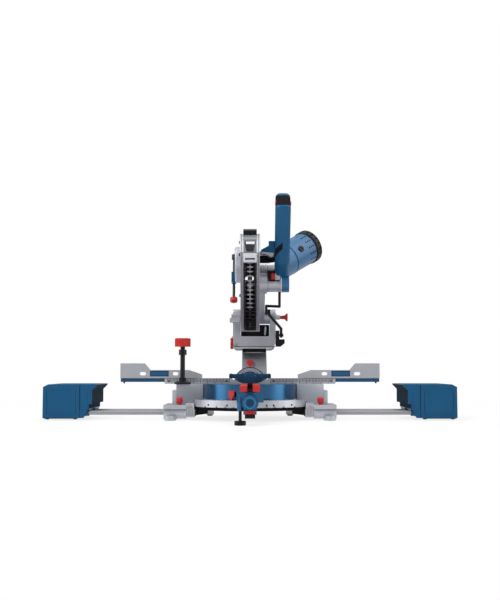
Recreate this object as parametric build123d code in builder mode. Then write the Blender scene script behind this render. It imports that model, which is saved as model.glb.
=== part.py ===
from build123d import *
import os
from math import atan2, cos, degrees, hypot, radians, sin, sqrt, tan

# Double-bevel sliding mitre saw with pull-out side supports, in millimetres.
# +Z is up and +X is to the operator's right. The operator stands at -Y.
# The origin is on the mitre axis, level with the underside of the feet.
# The head stands raised and slid back, as it rests when nobody holds it.

os.makedirs("parts", exist_ok=True)

# ---- running gaps
shaft_gap = 0.08            # radial, round every running shaft
seat_gap = 0.3              # between flat faces that pass each other

# ---- base casting
table_height = 96.0
table_half_width = 200.0
housing_outer = 232.0
table_rear = 24.0
table_bottom = 40.0
table_wall = 5.0
table_deck = 6.0
cove_start = (127.0, -26.0)
cove_middle = (164.0, -41.0)
cove_end = (table_half_width, -66.0)
dish_bottom = 27.0
dish_radius = 158.0
dish_floor = 33.0
foot_height = 4.0
foot_radius = 8.0
front_foot = (222.0, -84.0)
rear_foot = (118.0, 150.0)
bench_hole_x = 214.0
bench_hole_y = 108.0
bench_hole_radius = 4.5
bench_ear_radius = 12.0
bench_ear_top = 12.0
leg_top = 22.0
tab_width = 11.0
tab_top = 79.0
clamp_hole_x = 189.0
clamp_hole_y = 20.5

# ---- pull-out side supports
rod_radius = 6.0
rod_height = 20.0
rod_front = -76.0
rod_back = 20.0
rod_inner_end = 178.0
rod_outer_end = 545.0
housing_inner = 172.0
housing_radius = 16.0
collar_inner = 150.0
collar_height = 45.0
box_inner = 425.0
box_lip = box_inner - 12
bracket_length = 33.0
box_split = box_inner + bracket_length
box_length = 99.0
box_outer = box_split + box_length
box_front = -88.0
box_depth = 190.0
box_bottom = 6.0
box_wall = 3.0
support_travel = 174.0
rod_knob_x = 190.0
knob_stem_radius = 4.0
rod_knob_radius = 8.6
rod_knob_height = 20.0

# ---- mitre scale and turntable
scale_radius = 168.0
scale_bottom = 36.0
scale_top = 55.0
scale_plate = 3.2
scale_skirt = 6.0
scale_half_angle = 62.0
detent_angles = (-45, -31.6, -22.5, -15, 0, 15, 22.5, 31.6, 45, 60)
notch_width = 5.0
notch_height = 3.0
turntable_radius = 130.0
turntable_gap = 1.5
disc_bottom = 55.6
spigot_radius = 121.0
pivot_bolt_radius = 8.0
arm_half_width = 33.0
arm_length = 312.0
arm_bottom = 63.0
arm_wall = 6.0
nose_length = 34.0
nose_height = 55.5
nose_radius = 21.0
insert_thickness = 3.0
insert_half_width = 24.5
insert_drop = 14.0
kerf_half_width = 7.0
slot_half_width = 12.0
slot_depth = 12.0
slot_rear = 92.0
lock_knob_radius = 18.5
lock_knob_length = 26.0
detent_lever_width = 25.0
lever_y = 20 - arm_length
lever_z = 29.0
pointer_x = -49.0
pointer_half_width = 7.5
tip_screw_x = -24.0
tip_screw_radius = 4.0
tip_foot_radius = 14.3
tip_foot_height = 11.0

# ---- bevel trunnion and tilt arm
neck_half_width = 36.0
neck_bottom = 58.0
trunnion_front = 146.0
trunnion_back = 166.0
dome_radius = 37.0
dome_front = 140.0
wing_half_span = 57.0
wing_height = 116.0
stop_screw_radius = 2.5
stop_screw_depth = 8.0
drum_radius = 47.0
drum_depth = 50.0
bevel_axle_radius = 10.0
column_left = -24.0
column_right = 50.0
rail_height = 217.0
rail_centre = 12.0
rail_half_spacing = 38.0
rail_radius = 13.0
rail_rear = 560.0
bush_wall = 3.0
bush_length = 20.0
guide_front = 262.0
guide_length = 78.0
guide_half_width = 64.0
guide_half_height = 22.5

# ---- yoke and head pivot
pivot_y = 200.0
pivot_z = 295.0
pivot_radius = 8.0
ear_radius = 22.0
yoke_left = -51.0
yoke_right = 77.0
yoke_bottom = 198.0
yoke_floor = 235.0
yoke_rear = 246.0
ear_left_inner = -29.0
ear_right_inner = 60.0

# ---- saw head, drawn at the bottom of its stroke and then raised
head_stroke = 52.8          # degrees from the cut to the raised rest
blade_y = 35.0              # blade centre when raised
blade_z = 380.0
blade_radius = 127.0
blade_bore = 15.0
blade_thickness = 2.6
blade_teeth = 60
guard_radius = 141.0
guard_half_width = 27.0
guard_wall = 4.0
cap_half_width = 19.0
cap_height = 14.0
guard_edge = 50.0           # edge of the fixed guard below the blade centre
lower_guard_radius = 134.0
lower_guard_half_width = 17.0
lower_guard_wall = 2.6
lower_guard_half_angle = 72.0
rung_count = 25
rung_pitch = 5.4            # degrees
rung_slot = 9.0
arbor_radius = 8.0
nose_boss_radius = 24.0
gear_boss_radius = 29.0
gear_case_left = 27.0
gear_case_right = 90.0
flange_right = 111.0
motor_radius = 48.5
motor_slant = 48.0          # degrees up from the arbor, in the plane of the cut
motor_length = 240.0
motor_cap_length = 30.0
motor_cap_radius = 51.5
handle_left = 70.0
handle_width = 41.0


def across(x, y=0.0, z=0.0, turn=0.0):
    """A plane square to X, with its own axes along Y and Z before it is turned about X."""
    along_y = (0, cos(radians(turn)), sin(radians(turn)))
    return Plane(origin=(x, y, z), x_dir=along_y, z_dir=(1, 0, 0))


def facing(y, x=0.0, z=0.0):
    """A plane square to Y that faces the operator, with its own axes along X and Z."""
    return Plane(origin=(x, y, z), x_dir=(1, 0, 0), z_dir=(0, -1, 0))


def in_head(x):
    """The plane square to X through the head pivot, turned with the raised head."""
    return across(x, pivot_y, pivot_z, -head_stroke)


def to_head(y, z):
    """Where a point of the raised head lies in the head's own cutting frame."""
    turn = radians(head_stroke)
    dy, dz = y - pivot_y, z - pivot_z
    return (dy * cos(turn) - dz * sin(turn), dy * sin(turn) + dz * cos(turn))


def bent_rod(points, radius):
    """Add a round rod through the points, with a ball at each corner."""
    for start, end in zip(points, points[1:]):
        start, end = Vector(start), Vector(end)
        with Locations(Plane(origin=start, z_dir=end - start)):
            Cylinder(radius, (end - start).length, align=(Align.CENTER, Align.CENTER, Align.MIN))
    for corner in points[1:-1]:
        with Locations(corner):
            Sphere(radius)


blade_centre = to_head(blade_y, blade_z)

# ============================================================ base

with BuildPart() as base_casting:
    # side table: a hollow casting whose front wall is a shallow cove
    with BuildSketch(Plane.XY.offset(table_bottom)) as table_outline:
        with BuildLine():
            ThreePointArc(cove_start, cove_middle, cove_end)
            Polyline(cove_end, (table_half_width, table_rear), (100, table_rear),
                     (100, cove_start[1]), cove_start)
        make_face()
    extrude(amount=table_height - table_bottom)
    with BuildSketch(Plane.XY.offset(table_bottom)):
        add(table_outline.sketch_local)
        offset(amount=-table_wall, kind=Kind.INTERSECTION)
        Circle(turntable_radius + turntable_gap + table_wall, mode=Mode.SUBTRACT)
    extrude(amount=table_height - table_bottom - table_deck, mode=Mode.SUBTRACT)
    # lower step at the outer end
    with BuildSketch(Plane.XY.offset(table_bottom)):
        with Locations((table_half_width + tab_width / 2 - 1, (table_rear + cove_end[1]) / 2)):
            Rectangle(tab_width + 2, table_rear - cove_end[1] - 8)
    extrude(amount=tab_top - table_bottom)
    # boss for the clamp post behind the fence
    with BuildSketch(Plane.XY.offset(table_height)):
        with Locations((clamp_hole_x, clamp_hole_y)):
            Circle(11)
    extrude(amount=-30)
    # rod housing: two barrels tied by a bridge
    with BuildSketch(across(housing_inner)):
        with Locations((rod_front, rod_height), (rod_back, rod_height)):
            Circle(housing_radius)
        with Locations(((rod_front + rod_back) / 2, rod_height + 6)):
            Rectangle(rod_back - rod_front, 20)
        with Locations((-30, (30 + table_bottom + 1) / 2)):
            Rectangle(132, table_bottom + 1 - 30)
    extrude(amount=housing_outer - housing_inner)
    with BuildSketch(across(collar_inner)):
        with Locations((-26, (8 + collar_height) / 2)):
            Rectangle(132, collar_height - 8)
    extrude(amount=housing_inner - collar_inner)
    # pocket between the two barrels, open below
    with BuildSketch(Plane.XY.offset(0)):
        with Locations((190, (rod_front + rod_back) / 2)):
            Rectangle(68, rod_back - rod_front - 2 * housing_radius - 8)
    extrude(amount=34, mode=Mode.SUBTRACT)
    # rear leg and foot pads
    with BuildSketch(Plane.XY.offset(8)):
        with Locations(rear_foot):
            Circle(12)
        with Locations((160, 34)):
            Rectangle(24, 12)
        make_hull()
    extrude(amount=leg_top - 8)
    with BuildSketch(Plane.XY.offset(foot_height)):
        with Locations(rear_foot):
            Circle(12)
        with Locations(front_foot):
            Circle(10)
    extrude(amount=14)
    # ears for the bench screws
    with BuildSketch(Plane.XY):
        with Locations((bench_hole_x, -bench_hole_y)):
            Circle(bench_ear_radius)
        with Locations((bench_hole_x, -80)):
            Rectangle(30, 20)
        make_hull()
    with BuildSketch(Plane.XY):
        with Locations((bench_hole_x, bench_hole_y)):
            Circle(bench_ear_radius)
        with Locations((bench_hole_x - 4, 20)):
            Rectangle(36, 20)
        make_hull()
    extrude(amount=bench_ear_top)
    mirror(about=Plane.YZ)
    # pockets for the rubber feet
    with BuildSketch(Plane.XY):
        for side in (-1, 1):
            with Locations((side * front_foot[0], front_foot[1]),
                           (side * rear_foot[0], rear_foot[1])):
                Circle(foot_radius + seat_gap)
    extrude(amount=foot_height, mode=Mode.SUBTRACT)
    # dish that carries the turntable
    with BuildSketch(Plane.XY.offset(dish_bottom)):
        Circle(dish_radius)
    extrude(amount=scale_top - scale_plate - dish_bottom)
    with BuildSketch(Plane.XY.offset(scale_top - scale_plate)):
        Circle(turntable_radius + turntable_gap)
    extrude(amount=table_height, mode=Mode.SUBTRACT)
    with BuildSketch(Plane.XY.offset(dish_floor)):
        Circle(spigot_radius + turntable_gap)
    extrude(amount=table_height, mode=Mode.SUBTRACT)
    with BuildSketch(Plane.XY):
        Circle(pivot_bolt_radius + shaft_gap)
        with Locations((-bench_hole_x, -bench_hole_y), (bench_hole_x, -bench_hole_y),
                       (-bench_hole_x, bench_hole_y), (bench_hole_x, bench_hole_y)):
            Circle(bench_hole_radius)
    extrude(amount=dish_floor + 1, mode=Mode.SUBTRACT)
    # rod bores run right under the dish, so that the supports push home
    with BuildSketch(across(-housing_outer - 1)):
        with Locations((rod_front, rod_height), (rod_back, rod_height)):
            Circle(rod_radius + shaft_gap)
    extrude(amount=2 * housing_outer + 2, mode=Mode.SUBTRACT)
    # clamp post holes and lock screw holes
    with BuildSketch(Plane.XY.offset(table_height + 1)):
        with Locations((-clamp_hole_x, clamp_hole_y), (clamp_hole_x, clamp_hole_y)):
            Circle(5 + shaft_gap)
    extrude(amount=-32, mode=Mode.SUBTRACT)
    with BuildSketch(Plane.XY.offset(rod_height)):
        with Locations((-rod_knob_x, rod_front), (rod_knob_x, rod_front)):
            Circle(knob_stem_radius + shaft_gap)
    extrude(amount=30, mode=Mode.SUBTRACT)

with BuildPart() as base_feet:
    with BuildSketch(Plane.XY):
        for side in (-1, 1):
            with Locations((side * front_foot[0], front_foot[1]),
                           (side * rear_foot[0], rear_foot[1])):
                Circle(foot_radius)
    extrude(amount=foot_height)
    chamfer(base_feet.edges().group_by(Axis.Z)[0], 1)

with BuildPart() as mitre_detent_plate:
    with BuildSketch(Plane.XY.offset(scale_bottom)):
        Circle(scale_radius)
        Circle(scale_radius - scale_skirt, mode=Mode.SUBTRACT)
    extrude(amount=scale_top - scale_bottom)
    with BuildSketch(Plane.XY.offset(scale_top - scale_plate)):
        Circle(scale_radius)
        Circle(turntable_radius + 3, mode=Mode.SUBTRACT)
    extrude(amount=scale_plate)
    # keep the front sector only
    reach = scale_radius / cos(radians(scale_half_angle)) + 10
    spread = (reach * sin(radians(scale_half_angle)), -reach * cos(radians(scale_half_angle)))
    with BuildSketch(Plane.XY):
        with BuildLine():
            Polyline((0, 0), spread, (-spread[0], spread[1]), close=True)
        make_face()
    extrude(amount=table_height, mode=Mode.INTERSECT)
    # detent notches in the lower edge of the skirt
    for angle in detent_angles:
        outward = (sin(radians(angle)), -cos(radians(angle)), 0)
        with BuildSketch(Plane(origin=(0, 0, scale_bottom), z_dir=outward)):
            Rectangle(2 * notch_height, notch_width)
            Rectangle(notch_width, 2 * notch_height)
        extrude(amount=scale_radius + 1, mode=Mode.SUBTRACT)

# ============================================================ side supports

support_profile = [
    (box_outer, box_bottom), (box_outer, table_height - 7), (box_outer - 14, table_height),
    (box_lip, table_height), (box_lip, table_height - 4), (box_inner, table_height - 16),
    (box_inner, 43), (box_inner + 9, 43), (box_inner + 9, 31), (box_split - 11, box_bottom),
]
with BuildPart() as extension_box_right:
    with BuildSketch(facing(box_front)):
        with BuildLine():
            Polyline(*support_profile, close=True)
        make_face()
    extrude(amount=-box_depth)
    # outer box and inner bracket are both hollow and open below
    outer_cell = (box_split + box_wall, box_outer - box_wall)
    inner_cell = (box_inner + 9 + box_wall, box_split)
    for low, high in (outer_cell, inner_cell):
        with BuildSketch(Plane.XY.offset(0)):
            with Locations(((low + high) / 2, box_front + box_depth / 2)):
                Rectangle(high - low, box_depth - 2 * box_wall)
        extrude(amount=table_height - 10, mode=Mode.SUBTRACT)
    # sockets for the two rods
    with BuildSketch(across(box_inner + 9)):
        with Locations((rod_front, rod_height), (rod_back, rod_height)):
            Circle(rod_radius + 3)
    extrude(amount=rod_outer_end + 4 - box_inner - 9)
    with BuildSketch(across(box_inner)):
        with Locations((rod_front, rod_height), (rod_back, rod_height)):
            Circle(rod_radius)
    extrude(amount=rod_outer_end - box_inner, mode=Mode.SUBTRACT)
    # groove between bracket and box, and a raised border on the front and outer faces
    with BuildSketch(facing(box_front)):
        with Locations((box_split, table_height / 2)):
            Rectangle(2, 2 * table_height)
    extrude(amount=-1.2, mode=Mode.SUBTRACT)
    with BuildSketch(facing(box_front)):
        with Locations(((box_split + box_outer) / 2, (box_bottom + table_height) / 2 - 3)):
            RectangleRounded(box_outer - box_split - 20, table_height - box_bottom - 20, 6)
    extrude(amount=-1.2, mode=Mode.SUBTRACT)
    # two small feet
    with BuildSketch(Plane.XY.offset(box_bottom)):
        with Locations((box_split + 12, box_front + 6), (box_outer - 12, box_front + 6),
                       (box_split + 12, box_front + box_depth - 6),
                       (box_outer - 12, box_front + box_depth - 6)):
            Circle(5)
    extrude(amount=-3.5)

with BuildPart() as extension_rods_right:
    with BuildSketch(across(rod_inner_end)):
        with Locations((rod_front, rod_height), (rod_back, rod_height)):
            Circle(rod_radius)
    extrude(amount=rod_outer_end - rod_inner_end)
    chamfer(extension_rods_right.edges().group_by(Axis.X)[0], 1)

with BuildPart() as rod_lock_knob_right:
    knob_base = table_bottom + 1.3
    with BuildSketch(Plane.XY.offset(knob_base + rod_knob_height / 2)):
        with Locations((rod_knob_x, rod_front)):
            Circle(rod_knob_radius)
    extrude(amount=rod_knob_height / 2)
    fillet(rod_lock_knob_right.edges().group_by(Axis.Z)[-1], 0.6 * rod_knob_radius)
    with BuildSketch(Plane.XY.offset(knob_base + rod_knob_height / 2)):
        with Locations((rod_knob_x, rod_front)):
            Circle(rod_knob_radius)
    extrude(amount=-rod_knob_height / 2, taper=20)
    with BuildSketch(Plane.XY.offset(rod_height + rod_radius + seat_gap)):
        with Locations((rod_knob_x, rod_front)):
            Circle(knob_stem_radius)
    extrude(amount=knob_base + 2 - rod_height - rod_radius - seat_gap)

# ============================================================ fences

fence_face = 0.0
fence_top = 111.4
fence_thickness = 8.0
fence_end = 238.0
fence_gap_bottom = 17.5
fence_gap_top = 55.0
slide_bar_back = 14.3
slide_bar_bottom = 101.0
tall_fence_bottom = fence_top + seat_gap
tall_fence_low = 134.4
tall_fence_high = 153.0
tall_fence_inner = 133.6
tall_fence_outer = 361.8
fence_travel = 80.0

with BuildPart() as fixed_fence_right:
    with BuildSketch(facing(fence_face)):
        with BuildLine():
            Polyline((fence_gap_bottom, table_height), (fence_end, table_height),
                     (fence_end, fence_top), (fence_gap_top, fence_top), close=True)
        make_face()
    extrude(amount=-fence_thickness)
    # low foot behind the bar, screwed to the table
    with BuildSketch(facing(fence_thickness)):
        with BuildLine():
            Polyline((140, table_height), (fence_end - 8, table_height),
                     (fence_end - 8, slide_bar_bottom - seat_gap),
                     (140, slide_bar_bottom - seat_gap), close=True)
        make_face()
    extrude(amount=-6)

with BuildPart() as sliding_fence_right:
    with BuildSketch(facing(fence_face)):
        with BuildLine():
            Polyline((tall_fence_inner, tall_fence_bottom), (tall_fence_outer, tall_fence_bottom),
                     (tall_fence_outer, tall_fence_high), (294, tall_fence_high),
                     (278, tall_fence_low), (170, tall_fence_low), (tall_fence_inner, 122),
                     close=True)
        make_face()
        with Locations((299, 124)):
            SlotOverall(18, 9, mode=Mode.SUBTRACT)
        with Locations((208, 124)):
            SlotOverall(16, 9, mode=Mode.SUBTRACT)
        with Locations((253, 124.5)):
            RectangleRounded(52, 16, 2, mode=Mode.SUBTRACT)
    extrude(amount=-fence_thickness + 1)

with BuildPart() as fence_slide_right:
    with BuildSketch(facing(fence_thickness + seat_gap)):
        with BuildLine():
            Polyline((150, slide_bar_bottom), (tall_fence_outer, slide_bar_bottom),
                     (tall_fence_outer, tall_fence_bottom), (286, tall_fence_bottom),
                     (286, tall_fence_low), (220, tall_fence_low), (220, tall_fence_bottom),
                     (150, tall_fence_bottom), close=True)
        make_face()
    extrude(amount=-(slide_bar_back - fence_thickness - seat_gap))
    with BuildSketch(facing(0.6)):
        with Locations((253, 124.5)):
            RectangleRounded(51.4, 15.4, 2)
    extrude(amount=-(fence_thickness + 1))

# ============================================================ clamp

clamp_post_x, clamp_post_y = -clamp_hole_x, clamp_hole_y
clamp_x, clamp_y = -184.0, -55.0
clamp_post_radius = 5.0
clamp_arm_bottom = 176.0
clamp_arm_thickness = 14.0
spindle_radius = 6.5
spindle_top = 198.0
pad_radius = 22.5
pad_height = 18.0
pad_socket = 5.0
clamp_knob_radius = 21.5
clamp_knob_height = 23.0

with BuildPart() as clamp_post:
    with BuildSketch(Plane.XY.offset(table_height - 28)):
        with Locations((clamp_post_x, clamp_post_y)):
            Circle(clamp_post_radius)
    extrude(amount=clamp_arm_bottom + clamp_arm_thickness + 4 - (table_height - 28))
    chamfer(clamp_post.edges().group_by(Axis.Z)[-1], 1)

with BuildPart() as clamp_arm:
    with BuildSketch(Plane.XY.offset(clamp_arm_bottom)):
        with Locations((clamp_post_x, clamp_post_y)):
            Circle(10.5)
        with Locations((clamp_x, clamp_y)):
            Circle(10.5)
        make_hull()
        with Locations((clamp_post_x, clamp_post_y)):
            Circle(clamp_post_radius, mode=Mode.SUBTRACT)
        with Locations((clamp_x, clamp_y)):
            Circle(spindle_radius + shaft_gap, mode=Mode.SUBTRACT)
    extrude(amount=clamp_arm_thickness)

with BuildPart() as clamp_spindle:
    with BuildSketch(Plane.XY.offset(table_height + pad_height)):
        with Locations((clamp_x, clamp_y)):
            Circle(spindle_radius)
    extrude(amount=spindle_top - table_height - pad_height)
    with BuildSketch(Plane.XY.offset(table_height + pad_height)):
        with Locations((clamp_x, clamp_y)):
            Circle(pad_socket)
    extrude(amount=-11)

with BuildPart() as clamp_knob:
    with BuildSketch(Plane.XY.offset(spindle_top)):
        with Locations((clamp_x, clamp_y)):
            Circle(clamp_knob_radius - 1.5)
            with PolarLocations(clamp_knob_radius - 2.6, 16):
                Circle(2.6)
    extrude(amount=clamp_knob_height)
    chamfer(clamp_knob.faces().sort_by(Axis.Z)[-1].edges(), 1)

with BuildPart() as clamp_pad:
    with BuildSketch(Plane.XZ.offset(-clamp_y)):
        with BuildLine():
            Polyline((clamp_x + pad_socket + shaft_gap, table_height + 6),
                     (clamp_x, table_height + 6), (clamp_x, table_height + 0.1),
                     (clamp_x + pad_radius, table_height + 0.1),
                     (clamp_x + pad_radius, table_height + 5),
                     (clamp_x + 9.5, table_height + 10),
                     (clamp_x + 9.5, table_height + pad_height - seat_gap),
                     (clamp_x + pad_socket + shaft_gap, table_height + pad_height - seat_gap),
                     close=True)
        make_face()
    revolve(axis=Axis((clamp_x, clamp_y, 0), (0, 0, 1)))

# ============================================================ turntable

arm_top = table_height - insert_thickness
nose_front = -arm_length

with BuildPart() as turntable:
    with BuildSketch(Plane.XY.offset(disc_bottom)):
        Circle(turntable_radius)
    extrude(amount=table_height - disc_bottom)
    with BuildSketch(Plane.XY.offset(dish_floor)):
        Circle(spigot_radius)
    extrude(amount=disc_bottom - dish_floor)
    # front arm with sloping shoulders, hollow below
    with BuildSketch(facing(nose_front)):
        with BuildLine():
            Polyline((-arm_half_width, arm_bottom), (arm_half_width, arm_bottom),
                     (arm_half_width, arm_top - 7), (arm_half_width - 6, arm_top),
                     (6 - arm_half_width, arm_top), (-arm_half_width, arm_top - 7),
                     close=True)
        make_face()
    extrude(amount=-(arm_length - 100))
    with BuildSketch(Plane.XY.offset(arm_bottom)):
        with Locations((0, -(arm_length + turntable_radius) / 2)):
            Rectangle(2 * (arm_half_width - arm_wall), arm_length - turntable_radius - 60)
    extrude(amount=table_height - arm_bottom - 28, mode=Mode.SUBTRACT)
    # nose block that holds the lock knob
    with BuildSketch(facing(nose_front)):
        with Locations((0, (nose_height + arm_bottom + 6) / 2)):
            Rectangle(2 * arm_half_width, arm_bottom + 6 - nose_height)
        with Locations((0, nose_height)):
            Circle(nose_radius)
    extrude(amount=-nose_length)
    with BuildSketch(facing(nose_front)):
        with Locations((0, nose_height)):
            Circle(5 + shaft_gap)
    extrude(amount=-nose_length, mode=Mode.SUBTRACT)
    # ears and pin for the detent lever
    for side in (-1, 1):
        with BuildSketch(across(side * (detent_lever_width / 2 + seat_gap))):
            with Locations((lever_y, lever_z)):
                Circle(4)
            with Locations((lever_y, nose_height - 10)):
                Rectangle(8, 4)
            make_hull()
        extrude(amount=side * 3.5)
    with BuildSketch(across(-detent_lever_width / 2 - 2)):
        with Locations((lever_y, lever_z)):
            Circle(2)
    extrude(amount=detent_lever_width + 4)
    # boss for the anti-tip screw
    with BuildSketch(Plane.XY.offset(35)):
        with Locations((tip_screw_x, nose_front + 7)):
            Circle(8)
    extrude(amount=arm_bottom - 35 + 6)
    with BuildSketch(Plane.XY.offset(30)):
        with Locations((tip_screw_x, nose_front + 7)):
            Circle(tip_screw_radius + shaft_gap)
    extrude(amount=arm_top - 40, mode=Mode.SUBTRACT)
    # neck and trunnion behind the disc
    with BuildSketch(Plane.XY.offset(neck_bottom)):
        with Locations((0, (100 + trunnion_front) / 2)):
            Rectangle(2 * neck_half_width, trunnion_front - 100 + 10)
    extrude(amount=table_height - neck_bottom)
    with BuildSketch(facing(trunnion_front)):
        with Locations((0, table_height)):
            Circle(dome_radius)
        with Locations((0, neck_bottom + 1)):
            Rectangle(2 * neck_half_width, 2)
        make_hull()
        with Locations((0, wing_height)):
            SlotOverall(2 * wing_half_span, 13)
    extrude(amount=-(trunnion_back - trunnion_front))
    with BuildSketch(facing(dome_front)):
        with Locations((0, table_height)):
            Circle(dome_radius - 4)
    extrude(amount=-(trunnion_front - dome_front))
    # bevel axle, pivot bolt and stop screw holes
    with BuildSketch(facing(dome_front + 6)):
        with Locations((0, table_height)):
            Circle(bevel_axle_radius)
    extrude(amount=-40, mode=Mode.SUBTRACT)
    with BuildSketch(Plane.XY.offset(dish_floor)):
        Circle(pivot_bolt_radius)
    extrude(amount=30, mode=Mode.SUBTRACT)
    for side in (-1, 1):
        with BuildSketch(across(side * wing_half_span)):
            with Locations((trunnion_front + 10, wing_height)):
                Circle(stop_screw_radius)
        extrude(amount=-side * stop_screw_depth, mode=Mode.SUBTRACT)
    # seat for the inserts and the kerf slot below it
    with BuildSketch(Plane.XY.offset(arm_top)):
        with Locations((0, (slot_rear - arm_length) / 2)):
            Rectangle(2 * insert_half_width, slot_rear + arm_length)
    extrude(amount=insert_thickness + 1, mode=Mode.SUBTRACT)
    with BuildSketch(Plane.XY.offset(table_height - slot_depth)):
        with Locations((0, (slot_rear - 2 - arm_length + 20) / 2)):
            Rectangle(2 * slot_half_width, slot_rear - 2 + arm_length - 20)
    extrude(amount=slot_depth, mode=Mode.SUBTRACT)
    with BuildSketch(facing(nose_front)):
        with Locations((0, table_height - 10)):
            Rectangle(2 * kerf_half_width, 22)
    extrude(amount=-24, mode=Mode.SUBTRACT)

with BuildPart() as turntable_pivot_bolt:
    with BuildSketch(Plane.XY.offset(dish_bottom)):
        Circle(pivot_bolt_radius)
    extrude(amount=dish_floor + 30 - dish_bottom)
    with BuildSketch(Plane.XY.offset(dish_bottom)):
        RegularPolygon(13, 6)
    extrude(amount=-seat_gap)
    with BuildSketch(Plane.XY.offset(dish_bottom - seat_gap)):
        RegularPolygon(12.5, 6)
    extrude(amount=-8)

with BuildPart() as kerf_inserts:
    for side in (-1, 1):
        centre = side * (kerf_half_width + insert_half_width) / 2
        width = insert_half_width - kerf_half_width
        with BuildSketch(Plane.XY.offset(arm_top)):
            with Locations((centre, (slot_rear - arm_length) / 2)):
                Rectangle(width, slot_rear + arm_length)
        extrude(amount=insert_thickness)
        with BuildSketch(facing(nose_front)):
            with Locations((centre, table_height - insert_drop / 2)):
                Rectangle(width, insert_drop)
        extrude(amount=insert_thickness)

with BuildPart() as mitre_pointer:
    pointer_face = -sqrt(turntable_radius ** 2 - (pointer_x - pointer_half_width) ** 2)
    with BuildSketch(across(pointer_x - pointer_half_width)):
        with BuildLine():
            Polyline((pointer_face + 6, 66), (pointer_face + 6, 80), (pointer_face - 6, 80),
                     (-162, 58), (-162, scale_top + 0.4), (pointer_face - 3, 66), close=True)
        make_face()
    extrude(amount=2 * pointer_half_width)
    with BuildSketch(Plane.XY.offset(scale_bottom)):
        Circle(turntable_radius)
    extrude(amount=60, mode=Mode.SUBTRACT)
    with BuildSketch(Plane.XY.offset(scale_bottom)):
        with BuildLine():
            Polyline((pointer_x - pointer_half_width, -90), (pointer_x + pointer_half_width, -90),
                     (pointer_x + pointer_half_width, -142), (pointer_x + 1, -162),
                     (pointer_x - 1, -162), (pointer_x - pointer_half_width, -142), close=True)
        make_face()
    extrude(amount=60, mode=Mode.INTERSECT)

with BuildPart() as mitre_lock_knob:
    with BuildSketch(facing(nose_front - seat_gap)):
        with Locations((0, nose_height)):
            Circle(lock_knob_radius - 1.5)
            with PolarLocations(lock_knob_radius - 3, 8):
                Circle(3)
    extrude(amount=lock_knob_length)
    fillet(mitre_lock_knob.edges().group_by(Axis.Y)[0], 1.5)
    with BuildSketch(facing(nose_front - seat_gap)):
        with Locations((0, nose_height)):
            Circle(5)
    extrude(amount=-(nose_length + seat_gap))

with BuildPart() as detent_lever:
    with BuildSketch(across(-detent_lever_width / 2)):
        with BuildLine():
            Polyline((lever_y + 3, lever_z - 3), (lever_y + 3, lever_z + 3.5),
                     (nose_front - 1, lever_z + 3.5), (nose_front - 3, lever_z + 6.8),
                     (nose_front - 14, lever_z + 6.8), (nose_front - 15, lever_z - 10),
                     (nose_front - 9, lever_z - 12), (nose_front - 2, lever_z - 5), close=True)
        make_face()
        with Locations((lever_y, lever_z)):
            Circle(4)
            Circle(2 + shaft_gap, mode=Mode.SUBTRACT)
    extrude(amount=detent_lever_width)

with BuildPart() as anti_tip_screw:
    with BuildSketch(Plane.XY.offset(tip_foot_height - 4)):
        with Locations((tip_screw_x, nose_front + 7)):
            Circle(tip_screw_radius)
    extrude(amount=arm_top - 20 - tip_foot_height)

with BuildPart() as anti_tip_foot:
    with BuildSketch(Plane.XY):
        with Locations((tip_screw_x, nose_front + 7)):
            Circle(tip_foot_radius)
    extrude(amount=tip_foot_height)
    fillet(anti_tip_foot.edges().group_by(Axis.Z)[-1], 2)
    chamfer(anti_tip_foot.edges().group_by(Axis.Z)[0], 1)
    with BuildSketch(Plane.XY.offset(tip_foot_height - 4 - seat_gap)):
        with Locations((tip_screw_x, nose_front + 7)):
            Circle(tip_screw_radius + shaft_gap)
    extrude(amount=10, mode=Mode.SUBTRACT)

with BuildPart() as bevel_stop_screws:
    for side in (-1, 1):
        with BuildSketch(across(side * wing_half_span)):
            with Locations((trunnion_front + 10, wing_height)):
                Circle(5)
        extrude(amount=side * 5)
        with BuildSketch(across(side * wing_half_span)):
            with Locations((trunnion_front + 10, wing_height)):
                Circle(stop_screw_radius)
        extrude(amount=-side * stop_screw_depth)

# ============================================================ bevel

with BuildPart() as tilt_arm:
    with BuildSketch(facing(trunnion_back + seat_gap)):
        with Locations((0, table_height)):
            Circle(drum_radius)
    extrude(amount=-drum_depth)
    drum_back = trunnion_back + seat_gap + drum_depth
    with BuildSketch(across(column_left)):
        with BuildLine():
            Polyline((trunnion_back + seat_gap, table_height + 10),
                     (trunnion_back + seat_gap, table_height + 34), (250, 190),
                     (guide_front, 200), (guide_front, rail_height),
                     (guide_front + guide_length, rail_height),
                     (guide_front + guide_length, rail_height - guide_half_height),
                     (drum_back, table_height + 22), close=True)
        make_face()
    extrude(amount=column_right - column_left)
    # rail guide
    with BuildSketch(facing(guide_front)):
        with Locations((rail_centre, rail_height)):
            RectangleRounded(2 * guide_half_width, 2 * guide_half_height, 12)
    extrude(amount=-guide_length)
    with BuildSketch(facing(guide_front)):
        with Locations((rail_centre - rail_half_spacing, rail_height),
                       (rail_centre + rail_half_spacing, rail_height)):
            Circle(rail_radius + bush_wall)
    extrude(amount=-guide_length, mode=Mode.SUBTRACT)
    with BuildSketch(facing(trunnion_back)):
        with Locations((0, table_height)):
            Circle(bevel_axle_radius + shaft_gap)
    extrude(amount=-(drum_depth + 60), mode=Mode.SUBTRACT)
    # tapped hole for the slide lock screw
    with BuildSketch(across(rail_centre - guide_half_width - 1)):
        with Locations((guide_front + guide_length / 2, rail_height)):
            Circle(4 + shaft_gap)
    extrude(amount=guide_half_width - rail_half_spacing, mode=Mode.SUBTRACT)

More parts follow.
